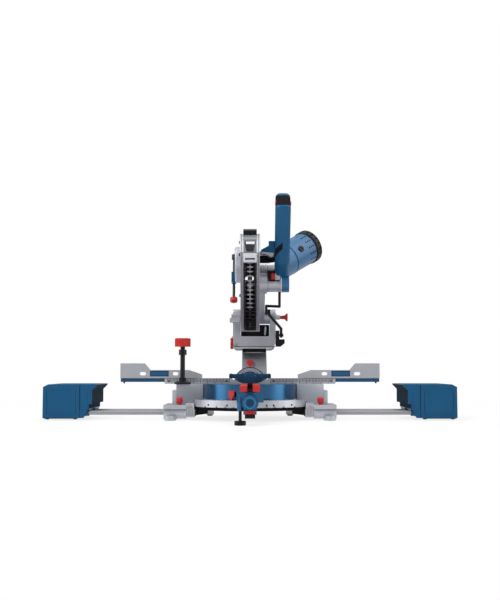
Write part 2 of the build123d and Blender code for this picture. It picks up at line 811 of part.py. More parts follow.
with BuildPart() as bevel_axle:
    with BuildSketch(facing(dome_front + 6)):
        with Locations((0, table_height)):
            Circle(bevel_axle_radius)
    extrude(amount=-(drum_back + 22 - dome_front - 6))
    with BuildSketch(facing(drum_back + seat_gap)):
        with Locations((0, table_height)):
            RegularPolygon(15, 6)
            Circle(bevel_axle_radius, mode=Mode.SUBTRACT)
    extrude(amount=-8)

with BuildPart() as bevel_lock_lever:
    with BuildSketch(facing(drum_back + 8 + 2 * seat_gap)):
        with Locations((0, table_height)):
            Circle(15)
        with Locations((0, table_height - 52)):
            Circle(6)
        make_hull()
        with Locations((0, table_height)):
            Circle(bevel_axle_radius + shaft_gap, mode=Mode.SUBTRACT)
    extrude(amount=-9)

with BuildPart() as bevel_pointer:
    # a wedge seated on the sloping front of the column, cut to an arrow
    front_rise = (190 - table_height - 34) / (250 - trunnion_back - seat_gap)

    def column_face(z):
        return trunnion_back + seat_gap + (z - table_height - 34) / front_rise

    pointer_foot = table_height + drum_radius + 0.6
    pointer_top = pointer_foot + 19
    with BuildSketch(across(-9)):
        with BuildLine():
            Polyline((column_face(pointer_foot), pointer_foot),
                     (column_face(pointer_top), pointer_top),
                     (column_face(pointer_top) - 30, pointer_top),
                     (column_face(pointer_foot) - 12, pointer_foot), close=True)
        make_face()
    extrude(amount=18)
    with BuildSketch(facing(trunnion_front)):
        with BuildLine():
            Polyline((-9, pointer_top), (9, pointer_top), (9, pointer_top - 8),
                     (2, pointer_foot), (-2, pointer_foot), (-9, pointer_top - 8), close=True)
        make_face()
    extrude(amount=-120, mode=Mode.INTERSECT)

with BuildPart() as rail_bushes:
    with BuildSketch(facing(guide_front)):
        with Locations((rail_centre - rail_half_spacing, rail_height),
                       (rail_centre + rail_half_spacing, rail_height)):
            Circle(rail_radius + bush_wall)
            Circle(rail_radius + shaft_gap, mode=Mode.SUBTRACT)
    extrude(amount=-bush_length)
    with BuildSketch(facing(guide_front + guide_length)):
        with Locations((rail_centre - rail_half_spacing, rail_height),
                       (rail_centre + rail_half_spacing, rail_height)):
            Circle(rail_radius + bush_wall)
            Circle(rail_radius + shaft_gap, mode=Mode.SUBTRACT)
    extrude(amount=bush_length)

with BuildPart() as slide_rails:
    with BuildSketch(facing(pivot_y - 6)):
        with Locations((rail_centre - rail_half_spacing, rail_height),
                       (rail_centre + rail_half_spacing, rail_height)):
            Circle(rail_radius)
    extrude(amount=-(rail_rear - pivot_y + 6))

with BuildPart() as rail_end_cap:
    with BuildSketch(facing(rail_rear)):
        with Locations((rail_centre, rail_height)):
            RectangleRounded(2 * rail_half_spacing + 2 * rail_radius + 8, 2 * rail_radius + 8, 14)
    extrude(amount=-12)
    fillet(rail_end_cap.edges().group_by(Axis.Y)[-1], 3)

with BuildPart() as slide_lock_knob:
    lock_face = rail_centre - guide_half_width
    with BuildSketch(across(lock_face - seat_gap)):
        with Locations((guide_front + guide_length / 2, rail_height)):
            Circle(9)
            SlotOverall(36, 11, rotation=80)
    extrude(amount=-9)
    with BuildSketch(across(lock_face - seat_gap)):
        with Locations((guide_front + guide_length / 2, rail_height)):
            Circle(4)
    extrude(amount=guide_half_width - rail_half_spacing - rail_radius - bush_wall)

# ============================================================ yoke

with BuildPart() as yoke:
    with BuildSketch(facing(pivot_y - ear_radius)):
        with BuildLine():
            Polyline((yoke_left, pivot_z + ear_radius), (yoke_left, yoke_bottom),
                     (yoke_right, yoke_bottom), (yoke_right, pivot_z + ear_radius), close=True)
        make_face()
    extrude(amount=-(yoke_rear - pivot_y + ear_radius))
    fillet(yoke.edges().filter_by(Axis.Y).group_by(Axis.Z)[0], 22)
    with BuildSketch(facing(pivot_y - ear_radius)):
        with Locations(((ear_left_inner + ear_right_inner) / 2, yoke_floor + 60)):
            RectangleRounded(ear_right_inner - ear_left_inner, 120, 8)
    extrude(amount=-(yoke_rear - pivot_y + ear_radius), mode=Mode.SUBTRACT)
    # round the ears about the pivot
    with BuildSketch(across(yoke_left)):
        with Locations((pivot_y, pivot_z)):
            Circle(ear_radius)
        with Locations(((pivot_y - ear_radius + yoke_rear) / 2, (yoke_bottom + yoke_floor) / 2)):
            Rectangle(yoke_rear - pivot_y + ear_radius, yoke_floor - yoke_bottom)
        make_hull()
    extrude(amount=yoke_right - yoke_left, mode=Mode.INTERSECT)
    # depth stop shelf in front of the left ear
    with BuildSketch(across(yoke_left - 9)):
        with Locations(((134 + 188) / 2, 281.5)):
            Rectangle(54, 12)
    extrude(amount=ear_left_inner - yoke_left + 7)
    # boss for the transport pin
    with BuildSketch(across(yoke_right - 5)):
        with Locations((184, 292)):
            Circle(7)
    extrude(amount=18)
    # pivot bore, pin bore and rail seats
    with BuildSketch(across(yoke_left - 10)):
        with Locations((pivot_y, pivot_z)):
            Circle(pivot_radius)
    extrude(amount=yoke_right - yoke_left + 20, mode=Mode.SUBTRACT)
    with BuildSketch(across(ear_right_inner - 1)):
        with Locations((184, 292)):
            Circle(4 + shaft_gap)
    extrude(amount=40, mode=Mode.SUBTRACT)
    with BuildSketch(facing(pivot_y - 6)):
        with Locations((rail_centre - rail_half_spacing, rail_height),
                       (rail_centre + rail_half_spacing, rail_height)):
            Circle(rail_radius)
    extrude(amount=-80, mode=Mode.SUBTRACT)

with BuildPart() as pivot_axle:
    with BuildSketch(across(yoke_left - 5)):
        with Locations((pivot_y, pivot_z)):
            Circle(pivot_radius)
    extrude(amount=yoke_right - yoke_left + 10)
    for x, way in ((yoke_left, -1), (yoke_right, 1)):
        with BuildSketch(across(x)):
            with Locations((pivot_y, pivot_z)):
                Circle(9)
        extrude(amount=way * 5)

with BuildPart() as transport_pin:
    with BuildSketch(across(69)):
        with Locations((184, 292)):
            Circle(4)
    extrude(amount=37)
    with BuildSketch(Plane.XY.offset(292)):
        with BuildLine():
            Polyline((91, 184), (91, 189), (104, 190), (110, 196), (113, 196), (113, 184),
                     close=True)
        make_face()
    revolve(axis=Axis((0, 184, 292), (1, 0, 0)))

link_pin = (176.0, 238.0)
link_far = (136.0, 306.0)
link_thickness = 8.0

with BuildPart() as link_bracket:
    with BuildSketch(facing(pivot_y - ear_radius)):
        with BuildLine():
            Polyline((yoke_right, 204), (92, 204), (104, 214), (104, 226), (88, 226), (88, 252),
                     (yoke_right, 252), close=True)
        make_face()
    extrude(amount=-20)
    with BuildSketch(across(yoke_right + 1)):
        with Locations(link_pin):
            Circle(7)
        with Locations((pivot_y - ear_radius + 4, link_pin[1])):
            Rectangle(8, 14)
    extrude(amount=88 - yoke_right - 1)
    with BuildSketch(across(80)):
        with Locations(link_pin):
            Circle(3)
    extrude(amount=18.5)
    with BuildSketch(across(97.6)):
        with Locations(link_pin):
            Circle(5)
    extrude(amount=2.5)

with BuildPart() as guard_link:
    bent_rod([(93, link_pin[0] - 3, link_pin[1] + 5), (93, 165, 257), (56, 140, 299),
              (56, link_far[0], link_far[1])], 4.2)
    with BuildSketch(across(93 - link_thickness / 2 + 0.4)):
        with Locations(link_pin):
            Circle(7.5)
    extrude(amount=link_thickness - 0.6)
    with BuildSketch(across(52)):
        with Locations(link_far):
            Circle(7)
    extrude(amount=link_thickness)
    with BuildSketch(across(50)):
        with Locations(link_pin):
            Circle(3 + shaft_gap)
        with Locations(link_far):
            Circle(3)
    extrude(amount=60, mode=Mode.SUBTRACT)

# ============================================================ head

motor_root = (blade_centre[0] + 2, blade_centre[1] + 50)
case_root_radius = 30.0
case_foot_radius = 24.0
lock_button_x = 64.5
rise = radians(head_stroke)
slant = radians(motor_slant)
motor_way = (cos(slant), sin(slant) * sin(rise), sin(slant) * cos(rise))


def raised(y, z):
    """Where a point of the head's cutting frame stands when the head is raised."""
    return (pivot_y + y * cos(rise) + z * sin(rise), pivot_z - y * sin(rise) + z * cos(rise))


root_y, root_z = raised(*motor_root)
motor_plane = Plane(origin=(gear_case_left, root_y, root_z), x_dir=(0, cos(rise), -sin(rise)),
                    z_dir=motor_way)

with BuildPart() as head_casting:
    with BuildSketch(in_head(ear_left_inner + seat_gap)):
        Circle(ear_radius)
    extrude(amount=ear_right_inner - ear_left_inner - 2 * seat_gap)
    with BuildSketch(in_head(guard_half_width)):
        Circle(ear_radius)
        with Locations(blade_centre):
            Circle(case_foot_radius)
        with Locations(motor_root):
            Circle(case_root_radius)
        make_hull()
    extrude(amount=16)
    with BuildSketch(in_head(gear_case_left)):
        with Locations(blade_centre):
            Circle(case_foot_radius)
        with Locations(motor_root):
            Circle(case_root_radius)
        make_hull()
    extrude(amount=gear_case_right - gear_case_left)
    with BuildSketch(in_head(gear_case_left)):
        with Locations(blade_centre):
            Circle(gear_boss_radius)
    extrude(amount=21)
    with BuildSketch(in_head(10.5)):
        with Locations(blade_centre):
            Circle(nose_boss_radius)
    extrude(amount=gear_case_left - 10.5)
    # pivot bore, arbor bore and the pocket of the spindle lock
    with BuildSketch(in_head(ear_left_inner - 5)):
        Circle(pivot_radius + shaft_gap)
        with Locations(blade_centre):
            Circle(arbor_radius + shaft_gap)
    extrude(amount=95, mode=Mode.SUBTRACT)
    with BuildSketch(facing(blade_y - 40, lock_button_x, blade_z + 18)):
        SlotOverall(18 + 2 * shaft_gap, 11 + 2 * shaft_gap, rotation=90)
    extrude(amount=-40, mode=Mode.SUBTRACT)

with BuildPart() as spindle_lock_button:
    with BuildSketch(facing(blade_y - 30, lock_button_x, blade_z + 18)):
        SlotOverall(18, 11, rotation=90)
    extrude(amount=-25)
    fillet(spindle_lock_button.edges().group_by(Axis.Y)[0], 2)

port_start = (-116.0, 20.0)
port_end = (-60.0, 115.0)
port_radius = 20.0
port_bore = 16.0
port_socket = 17.5
port_socket_depth = 30.0
port_length = hypot(port_end[0] - port_start[0], port_end[1] - port_start[1])
port_tip_y, port_tip_z = raised(*port_end)
port_start_y, port_start_z = raised(*port_start)
port_way = (0, (port_tip_y - port_start_y) / port_length, (port_tip_z - port_start_z) / port_length)
port_plane = Plane(origin=(0, port_start_y, port_start_z), x_dir=(1, 0, 0), z_dir=port_way)

with BuildPart(mode=Mode.PRIVATE) as side_bulge:
    with BuildSketch(across(-guard_half_width)):
        with Locations((28, 444)):
            Circle(40)
        with Locations((62, 414)):
            Circle(29)
        make_hull()
    extrude(amount=-16)
    fillet(side_bulge.edges().group_by(Axis.X)[0], 6)

with BuildPart() as upper_guard:
    with BuildSketch(in_head(-guard_half_width)):
        with Locations(blade_centre):
            Circle(guard_radius)
    extrude(amount=2 * guard_half_width)
    with BuildSketch(in_head(guard_wall - guard_half_width)):
        with Locations(blade_centre):
            Circle(guard_radius - guard_wall)
    extrude(amount=2 * (guard_half_width - guard_wall), mode=Mode.SUBTRACT)
    with BuildSketch(in_head(-guard_half_width)):
        with Locations((blade_centre[0], blade_centre[1] - guard_edge - guard_radius)):
            Rectangle(3 * guard_radius, 2 * guard_radius)
    extrude(amount=2 * guard_half_width, mode=Mode.SUBTRACT)
    with BuildSketch(in_head(0)):
        with Locations(blade_centre):
            Circle(nose_boss_radius)
    extrude(amount=guard_half_width, mode=Mode.SUBTRACT)
    add(side_bulge.part)
    # dust duct through the rear of the guard
    with BuildSketch(port_plane.offset(-25)):
        Circle(port_bore)
    extrude(amount=port_length / 2, mode=Mode.SUBTRACT)

with BuildPart() as dust_port:
    with BuildSketch(port_plane):
        Circle(port_radius)
    extrude(amount=port_length)
    with BuildSketch(in_head(-port_radius)):
        with Locations(blade_centre):
            Circle(guard_radius)
    extrude(amount=2 * port_radius, mode=Mode.SUBTRACT)
    with BuildSketch(port_plane):
        Circle(port_bore)
    extrude(amount=port_length, mode=Mode.SUBTRACT)
    with BuildSketch(port_plane.offset(port_length)):
        Circle(port_socket)
    extrude(amount=-port_socket_depth, mode=Mode.SUBTRACT)

with BuildPart() as guard_top_cap:
    with BuildSketch(in_head(-cap_half_width)):
        with Locations(blade_centre):
            Circle(guard_radius + cap_height)
            Circle(guard_radius, mode=Mode.SUBTRACT)
    extrude(amount=2 * cap_half_width)
    with BuildSketch(across(-cap_half_width, blade_y, blade_z)):
        with BuildLine():
            Polyline((0, 0), (300 * cos(radians(72)), 300 * sin(radians(72))),
                     (300 * cos(radians(112)), 300 * sin(radians(112))), close=True)
        make_face()
    extrude(amount=2 * cap_half_width, mode=Mode.INTERSECT)

with BuildPart() as motor_housing:
    with BuildSketch(motor_plane):
        Circle(motor_radius)
    extrude(amount=motor_length - motor_cap_length)
    with BuildSketch(across(gear_case_right)):
        Rectangle(2000, 2000)
    extrude(amount=-300, mode=Mode.SUBTRACT)
    with BuildSketch(in_head(gear_case_right)):
        with Locations(blade_centre):
            Circle(case_foot_radius + 1)
        with Locations(motor_root):
            Circle(case_root_radius + 5)
        make_hull()
    extrude(amount=flange_right - gear_case_right)

with BuildPart() as motor_end_cap:
    with BuildSketch(motor_plane.offset(motor_length - motor_cap_length)):
        Circle(motor_cap_radius)
    extrude(amount=motor_cap_length)
    cap_rims = motor_end_cap.edges().filter_by(GeomType.CIRCLE).sort_by(
        Axis(motor_plane.origin, motor_way))
    chamfer(cap_rims[-1], 11)
    chamfer(cap_rims[0], 2)
    with BuildSketch(motor_plane.offset(motor_length - motor_cap_length + 5)):
        with PolarLocations(motor_cap_radius, 20):
            Rectangle(7, 4)
    extrude(amount=motor_cap_length - 18, mode=Mode.SUBTRACT)

grip_rear = (-236.0, -44.0)
grip_front = (-408.0, -30.0)
loop_front = (-406.0, -78.0)
loop_rear = (-244.0, -88.0)
handle_centre = handle_left + handle_width / 2
cover_front = -4.0
cover_depth = 30.0
trigger_pivot = (-338.0, -46.0)
lock_off_place = (-408.0, -52.0)
lock_off_radius = 6.5
lock_off_reach = 1.5
grip_round = 13.0

with BuildPart() as handle:
    with BuildSketch(in_head(handle_left)):
        with Locations(grip_rear):
            Circle(20)
        with Locations(grip_front):
            Circle(18)
        with Locations(loop_front):
            Circle(11)
        with Locations(loop_rear):
            Circle(14)
        with Locations((-192, -56)):
            Circle(30)
        make_hull()
    extrude(amount=handle_width)
    rims = handle.edges().filter_by(GeomType.CIRCLE) + handle.edges().filter_by(GeomType.LINE)
    fillet(rims.group_by(Axis.X)[0] + rims.group_by(Axis.X)[-1], grip_round)
    # finger opening
    with BuildSketch(in_head(handle_left - 1)):
        with Locations((-266, -67)):
            Circle(14)
        with Locations((-386, -60)):
            Circle(14)
        make_hull()
    extrude(amount=handle_width + 2, mode=Mode.SUBTRACT)
    # pocket for the trigger and bore for the lock-off button
    with BuildSketch(in_head(handle_centre - 9.5)):
        with Locations((-356, -44)):
            Rectangle(50, 22)
    extrude(amount=19, mode=Mode.SUBTRACT)
    with BuildSketch(in_head(handle_centre - 12)):
        with Locations(trigger_pivot):
            Circle(2)
    extrude(amount=24)
    with BuildSketch(in_head(handle_left - 1)):
        with Locations(lock_off_place):
            Circle(lock_off_radius + shaft_gap)
    extrude(amount=handle_width + 2, mode=Mode.SUBTRACT)
    # the handle stands on the gear case and the motor housing
    with BuildSketch(motor_plane):
        Circle(motor_radius)
    extrude(amount=motor_length, mode=Mode.SUBTRACT)
    with BuildSketch(in_head(gear_case_left)):
        with Locations(blade_centre):
            Circle(case_foot_radius + 1)
        with Locations(motor_root):
            Circle(case_root_radius + 5)
        make_hull()
    extrude(amount=flange_right - gear_case_left, mode=Mode.SUBTRACT)

with BuildPart() as lock_off_button:
    with BuildSketch(in_head(handle_left - lock_off_reach)):
        with Locations(lock_off_place):
            Circle(lock_off_radius)
    extrude(amount=handle_width + 2 * lock_off_reach)
    chamfer(lock_off_button.edges().group_by(Axis.X)[0], 1)
    chamfer(lock_off_button.edges().group_by(Axis.X)[-1], 1)

with BuildPart() as trigger:
    with BuildSketch(in_head(handle_centre - 9)):
        with Locations(trigger_pivot):
            Circle(4)
        with Locations((-372, -56)):
            Circle(6)
        with Locations((-373, -48)):
            Circle(5)
        make_hull()
    extrude(amount=18)
    fillet(trigger.edges().group_by(Axis.X)[0] + trigger.edges().group_by(Axis.X)[-1], 1.5)
    with BuildSketch(in_head(handle_centre - 12)):
        with Locations(trigger_pivot):
            Circle(2 + shaft_gap)
    extrude(amount=24, mode=Mode.SUBTRACT)

with BuildPart() as head_cover:
    with BuildSketch(facing(cover_front)):
        with BuildLine():
            Polyline((31, 462), (31, 472), (46, 480), (53, 484), (53, 497), (handle_left, 497),
                     (handle_left, 452), (58, 452), (50, 458), close=True)
        make_face()
    extrude(amount=-cover_depth)
    fillet(head_cover.edges().filter_by(Axis.Z).group_by(Axis.Y)[0], 3)

with BuildPart() as head_link_rod:
    bent_rod([(86, 92, 384), (86, 100, 319), (47.9, 119, 322), (47.9, 134, 308)], 3.9)
    with BuildSketch(across(44.3)):
        with Locations(link_far):
            Circle(9)
    extrude(amount=7.2)
    with BuildSketch(in_head(gear_case_left)):
        with Locations(blade_centre):
            Circle(case_foot_radius)
        with Locations(motor_root):
            Circle(case_root_radius)
        make_hull()
    extrude(amount=gear_case_right - gear_case_left, mode=Mode.SUBTRACT)

stop_tip = (162.0, 336.0)
stop_lean = 25.0
stop_length = 158.0
stop_way = (0, sin(radians(stop_lean)), cos(radians(stop_lean)))
stop_plane = Plane(origin=(-48.5, *stop_tip), x_dir=(1, 0, 0), z_dir=stop_way)

with BuildPart() as depth_stop_screw:
    with BuildSketch(stop_plane):
        Circle(4)
    extrude(amount=stop_length)
    with BuildSketch(stop_plane.offset(3)):
        Circle(11)
    extrude(amount=11)
    with BuildSketch(stop_plane.offset(stop_length - 6)):
        Circle(7.5)
    extrude(amount=14)

with BuildPart() as depth_stop_bracket:
    with BuildSketch(across(-55.5)):
        with Locations((179, 411)):
            Rectangle(50, 32)
    extrude(amount=14)
    with BuildSketch(across(-42)):
        with Locations((155, 411)):
            Rectangle(22, 32)
    extrude(amount=15)
    with BuildSketch(stop_plane):
        Circle(4 + shaft_gap)
    extrude(amount=stop_length, mode=Mode.SUBTRACT)

# ============================================================ blade and lower guard

gullet = 7.0
with BuildSketch(Plane.XY) as tooth:
    with BuildLine():
        Polyline((-1, -1.5), (gullet, 1.6), (gullet - 1, 3.4), (-1, 4.2), close=True)
    make_face()

with BuildPart() as saw_blade:
    with BuildSketch(in_head(-blade_thickness / 2)):
        with Locations(blade_centre):
            Circle(blade_radius - gullet)
            with PolarLocations(blade_radius - gullet, blade_teeth):
                add(tooth.sketch)
            Circle(blade_bore, mode=Mode.SUBTRACT)
    extrude(amount=blade_thickness)

with BuildPart() as blade_flanges:
    for x, way in ((blade_thickness / 2, 1), (-blade_thickness / 2, -1)):
        with BuildSketch(in_head(x)):
            with Locations(blade_centre):
                Circle(30)
                Circle(arbor_radius, mode=Mode.SUBTRACT)
        extrude(amount=way * 5)
    # bolt that draws the flanges together
    with BuildSketch(in_head(-blade_thickness / 2 - 5)):
        with Locations(blade_centre):
            RegularPolygon(9.5, 6)
    extrude(amount=-7)

with BuildPart() as arbor:
    with BuildSketch(in_head(-6.3)):
        with Locations(blade_centre):
            Circle(arbor_radius)
    extrude(amount=66)
    with BuildSketch(in_head(-blade_thickness / 2)):
        with Locations(blade_centre):
            Circle(blade_bore)
    extrude(amount=blade_thickness)

with BuildPart() as lower_guard:
    inside = lower_guard_radius - lower_guard_wall
    with BuildSketch(in_head(-lower_guard_half_width)):
        with Locations(blade_centre):
            Circle(lower_guard_radius)
    extrude(amount=2 * lower_guard_half_width)
    with BuildSketch(in_head(lower_guard_wall - lower_guard_half_width)):
        with Locations(blade_centre):
            Circle(inside)
    extrude(amount=2 * (lower_guard_half_width - lower_guard_wall), mode=Mode.SUBTRACT)
    # keep the sector that covers the open side of the fixed guard
    half = radians(lower_guard_half_angle)
    with BuildSketch(in_head(-lower_guard_half_width)):
        with BuildLine():
            Polyline(blade_centre, (blade_centre[0] - 500 * sin(half), blade_centre[1] - 500 * cos(half)),
                     (blade_centre[0] + 500 * sin(half), blade_centre[1] - 500 * cos(half)),
                     close=True)
        make_face()
    extrude(amount=2 * lower_guard_half_width, mode=Mode.INTERSECT)
    # open the cheeks
    with BuildSketch(in_head(-lower_guard_half_width)):
        with Locations(blade_centre):
            Circle(66)
    extrude(amount=lower_guard_wall, mode=Mode.SUBTRACT)
    with BuildSketch(in_head(lower_guard_half_width)):
        with Locations(blade_centre):
            Circle(nose_boss_radius + 12)
    extrude(amount=-lower_guard_wall)
    with BuildSketch(in_head(0)):
        with Locations(blade_centre):
            Circle(nose_boss_radius + shaft_gap)
    extrude(amount=30, mode=Mode.SUBTRACT)
    # ladder of slots round the rim
    for step in range(rung_count):
        turn = 270 + (step - (rung_count - 1) / 2) * rung_pitch - head_stroke
        with BuildSketch(across(0, blade_y, blade_z, turn)):
            with Locations((lower_guard_radius, 0)):
                Rectangle(20, rung_slot)
        extrude(amount=lower_guard_half_width - 4, both=True, mode=Mode.SUBTRACT)

# ============================================================ left-hand twins

pieces = {
    "base_casting": base_casting, "base_feet": base_feet,
    "mitre_detent_plate": mitre_detent_plate,
    "clamp_post": clamp_post, "clamp_arm": clamp_arm, "clamp_spindle": clamp_spindle,
    "clamp_knob": clamp_knob, "clamp_pad": clamp_pad,
    "turntable": turntable, "turntable_pivot_bolt": turntable_pivot_bolt,
    "kerf_inserts": kerf_inserts, "mitre_pointer": mitre_pointer,
    "mitre_lock_knob": mitre_lock_knob, "detent_lever": detent_lever,
    "anti_tip_screw": anti_tip_screw, "anti_tip_foot": anti_tip_foot,
    "bevel_stop_screws": bevel_stop_screws, "tilt_arm": tilt_arm, "bevel_axle": bevel_axle,
    "bevel_lock_lever": bevel_lock_lever, "bevel_pointer": bevel_pointer,
    "rail_bushes": rail_bushes, "slide_rails": slide_rails, "rail_end_cap": rail_end_cap,
    "slide_lock_knob": slide_lock_knob, "yoke": yoke, "pivot_axle": pivot_axle,
    "transport_pin": transport_pin,
    "link_bracket": link_bracket, "guard_link": guard_link,
    "head_casting": head_casting, "spindle_lock_button": spindle_lock_button,
    "upper_guard": upper_guard, "dust_port": dust_port,
    "guard_top_cap": guard_top_cap, "motor_housing": motor_housing,
    "motor_end_cap": motor_end_cap, "handle": handle, "lock_off_button": lock_off_button,
    "trigger": trigger, "head_cover": head_cover, "head_link_rod": head_link_rod,
    "depth_stop_screw": depth_stop_screw, "depth_stop_bracket": depth_stop_bracket,
    "saw_blade": saw_blade, "blade_flanges": blade_flanges, "arbor": arbor,
    "lower_guard": lower_guard,
}
twins = {
    "extension_box": extension_box_right, "extension_rods": extension_rods_right,
    "rod_lock_knob": rod_lock_knob_right, "fixed_fence": fixed_fence_right,
    "sliding_fence": sliding_fence_right, "fence_slide": fence_slide_right,
}
for name, right in twins.items():
    with BuildPart() as left:
        add(mirror(right.part, about=Plane.YZ))
    pieces[name + "_right"] = right
    pieces[name + "_left"] = left

for name, piece in pieces.items():
    piece.part.label = name
    export_step(piece.part, f"parts/{name}.step")
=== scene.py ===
"""Dress for a sliding double-bevel mitre saw: finishes, scales, screws and trim round the solid frame."""

from math import asin, atan2, cos, pi, radians, sin, tau

import bmesh
import bpy
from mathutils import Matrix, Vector


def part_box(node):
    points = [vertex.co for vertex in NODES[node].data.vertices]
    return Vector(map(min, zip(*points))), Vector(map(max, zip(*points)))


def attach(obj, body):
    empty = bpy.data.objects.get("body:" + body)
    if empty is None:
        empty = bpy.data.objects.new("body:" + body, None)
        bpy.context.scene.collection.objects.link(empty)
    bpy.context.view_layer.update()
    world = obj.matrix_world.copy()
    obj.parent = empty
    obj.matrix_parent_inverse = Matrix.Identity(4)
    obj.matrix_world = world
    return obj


bl_info = {
    "name": "Mitre saw dress",
    "version": (1, 0, 0),
    "blender": (4, 5, 0),
    "location": "View3D > Sidebar > Saw",
    "description": "Finishes, scales, screws and trim for a sliding mitre saw",
    "category": "Object",
}

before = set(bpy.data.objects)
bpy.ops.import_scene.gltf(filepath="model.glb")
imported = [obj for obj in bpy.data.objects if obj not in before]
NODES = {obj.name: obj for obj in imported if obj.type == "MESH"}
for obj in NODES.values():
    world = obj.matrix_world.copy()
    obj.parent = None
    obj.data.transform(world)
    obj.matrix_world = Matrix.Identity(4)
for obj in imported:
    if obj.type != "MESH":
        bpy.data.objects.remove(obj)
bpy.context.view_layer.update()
MM = 0.001
SIDES = ((-1, "left"), (1, "right"))

# head geometry, as the solids have it
PIVOT = (0.0, 0.200, 0.295)
BLADE = (0.0, 0.035, 0.380)
STROKE = radians(52.8)
GUARD_R = 0.141
MOTOR_R = 0.0485
CASE_NEAR_R, CASE_FAR_R = 0.024, 0.030
TOOTH_TIP_R = 0.1243
MOTOR_SLANT = radians(48.0)
MOTOR_WAY = Vector((cos(MOTOR_SLANT), sin(MOTOR_SLANT) * sin(STROKE), sin(MOTOR_SLANT) * cos(STROKE)))


def raised(y, z):
    """A point of the head's cutting frame, in mm from the pivot, where it stands at rest, in metres."""
    return (PIVOT[1] + (y * cos(STROKE) + z * sin(STROKE)) * MM,
            PIVOT[2] + (z * cos(STROKE) - y * sin(STROKE)) * MM)


MOTOR_ROOT = Vector((0.027, *raised(-165.5, -30.0)))

# table, base and supports, as the solids have them
KNOB_Z, BEVEL_Z = 0.0555, 0.096
MITRE_TICK_R, BEVEL_TICK_R, SKIRT_SCREW_R = 0.164, 0.0455, 0.168
MITRE_TICKS_EACH_WAY = 56
SUPPORT_FACE = -0.0868


# ------------------------------------------------------------------ properties

class SawFinish(bpy.types.PropertyGroup):
    """Colours of the paint, castings and plastics."""
    blue: bpy.props.FloatVectorProperty(
        name="Blue", description="Housing plastic and painted castings", subtype="COLOR", size=3,
        default=(0.006, 0.082, 0.190), min=0, max=1)
    silver: bpy.props.FloatVectorProperty(
        name="Casting", description="Light alloy castings", subtype="COLOR", size=3,
        default=(0.50, 0.515, 0.555), min=0, max=1)
    red: bpy.props.FloatVectorProperty(
        name="Red", description="Every knob and lever that the user moves", subtype="COLOR", size=3,
        default=(0.52, 0.028, 0.026), min=0, max=1)
    black: bpy.props.FloatVectorProperty(
        name="Black", description="Grips, caps and levers", subtype="COLOR", size=3,
        default=(0.006, 0.006, 0.008), min=0, max=1)
    steel: bpy.props.FloatVectorProperty(
        name="Steel", description="Rods, rails, screws and the blade", subtype="COLOR", size=3,
        default=(0.62, 0.63, 0.66), min=0, max=1)


class SawTrim(bpy.types.PropertyGroup):
    """Sizes of what the dress adds to the solids."""
    tick_step: bpy.props.FloatProperty(
        name="Tick step", description="Distance between the fence scale's ticks", unit="LENGTH",
        default=0.004, min=0.001, max=0.02)
    tick_width: bpy.props.FloatProperty(
        name="Tick width", description="Width of a scale's tick", unit="LENGTH",
        default=0.0014, min=0.0002, max=0.003)
    mark_height: bpy.props.FloatProperty(
        name="Mark height", description="How far a printed mark stands off its plate", unit="LENGTH",
        default=0.00025, min=0.0001, max=0.001)
    bellows_folds: bpy.props.IntProperty(
        name="Bellows folds", description="Folds in the cable boot on the gear case",
        default=9, min=3, max=20)
    teeth: bpy.props.IntProperty(
        name="Teeth", description="Teeth of the blade", default=60, min=12, max=96)


class SawStage(bpy.types.PropertyGroup):
    """Camera and light."""
    distance: bpy.props.FloatProperty(
        name="Distance", description="Camera to the middle of the saw", unit="LENGTH",
        default=2.5, min=1, max=6)
    height: bpy.props.FloatProperty(
        name="Height", description="Camera above the floor", unit="LENGTH", default=0.138, min=0, max=2)
    span: bpy.props.FloatProperty(
        name="Span", description="Width of the picture at the fence", unit="LENGTH",
        default=1.4, min=0.5, max=4)
    pitch: bpy.props.FloatProperty(
        name="Pitch", description="How far the camera looks up", subtype="ANGLE",
        default=radians(4.4), min=-1, max=1)
    lamp: bpy.props.FloatProperty(
        name="Lamp strength", description="Strength of the soft lamps, in watts", default=25.0,
        min=1, max=500)
    world_level: bpy.props.FloatProperty(
        name="Fill", description="Even light from the room", default=0.45, min=0, max=4)
    room_level: bpy.props.FloatProperty(
        name="Room reflection", description="What polished parts reflect between the soft boxes",
        default=0.16, min=0, max=4)
    box_level: bpy.props.FloatProperty(
        name="Box reflection", description="Brightness of the two tall soft boxes in reflections",
        default=3.4, min=0, max=8)
    box_angle: bpy.props.FloatProperty(
        name="Box angle", description="How far round from the front the soft boxes stand, in degrees",
        default=78.0, min=0, max=180)


# ------------------------------------------------------------------ materials

def new_material(name):
    """An empty material: its nodes, a way to link them, its shader and its output."""
    material = bpy.data.materials.new(name)
    material.use_nodes = True
    tree = material.node_tree
    shader = tree.nodes["Principled BSDF"]

    def add(kind, **values):
        node = tree.nodes.new("ShaderNode" + kind)
        for key, value in values.items():
            socket = key.replace("_", " ").title()
            if socket in node.inputs:
                node.inputs[socket].default_value = value
            else:
                setattr(node, key, value)
        return node

    return material, add, tree.links.new, shader


def set_range(node, low, high, start, end):
    """Both ranges of a map range node."""
    for key, value in (("From Min", low), ("From Max", high), ("To Min", start), ("To Max", end)):
        node.inputs[key].default_value = value


def two_stops(ramp, low, dark, high, light):
    """Place and colour a ramp's two stops."""
    for stop, position, colour in zip(ramp.color_ramp.elements, (low, high), (dark, light)):
        stop.position = position
        stop.color = tuple(colour) + (1,)


def feed(links, node, values):
    """Link or set a node's inputs in order. None leaves one alone."""
    for socket, value in zip(node.inputs, values):
        if isinstance(value, bpy.types.NodeSocket):
            links.new(value, socket)
        elif value is not None:
            socket.default_value = value


def calculator(tree):
    """A function that adds a math node to the tree and gives its output."""
    def math(what, a, b=None):
        node = tree.nodes.new("ShaderNodeMath")
        node.operation = what
        feed(tree.links, node, (a, b))
        return node.outputs[0]
    return math


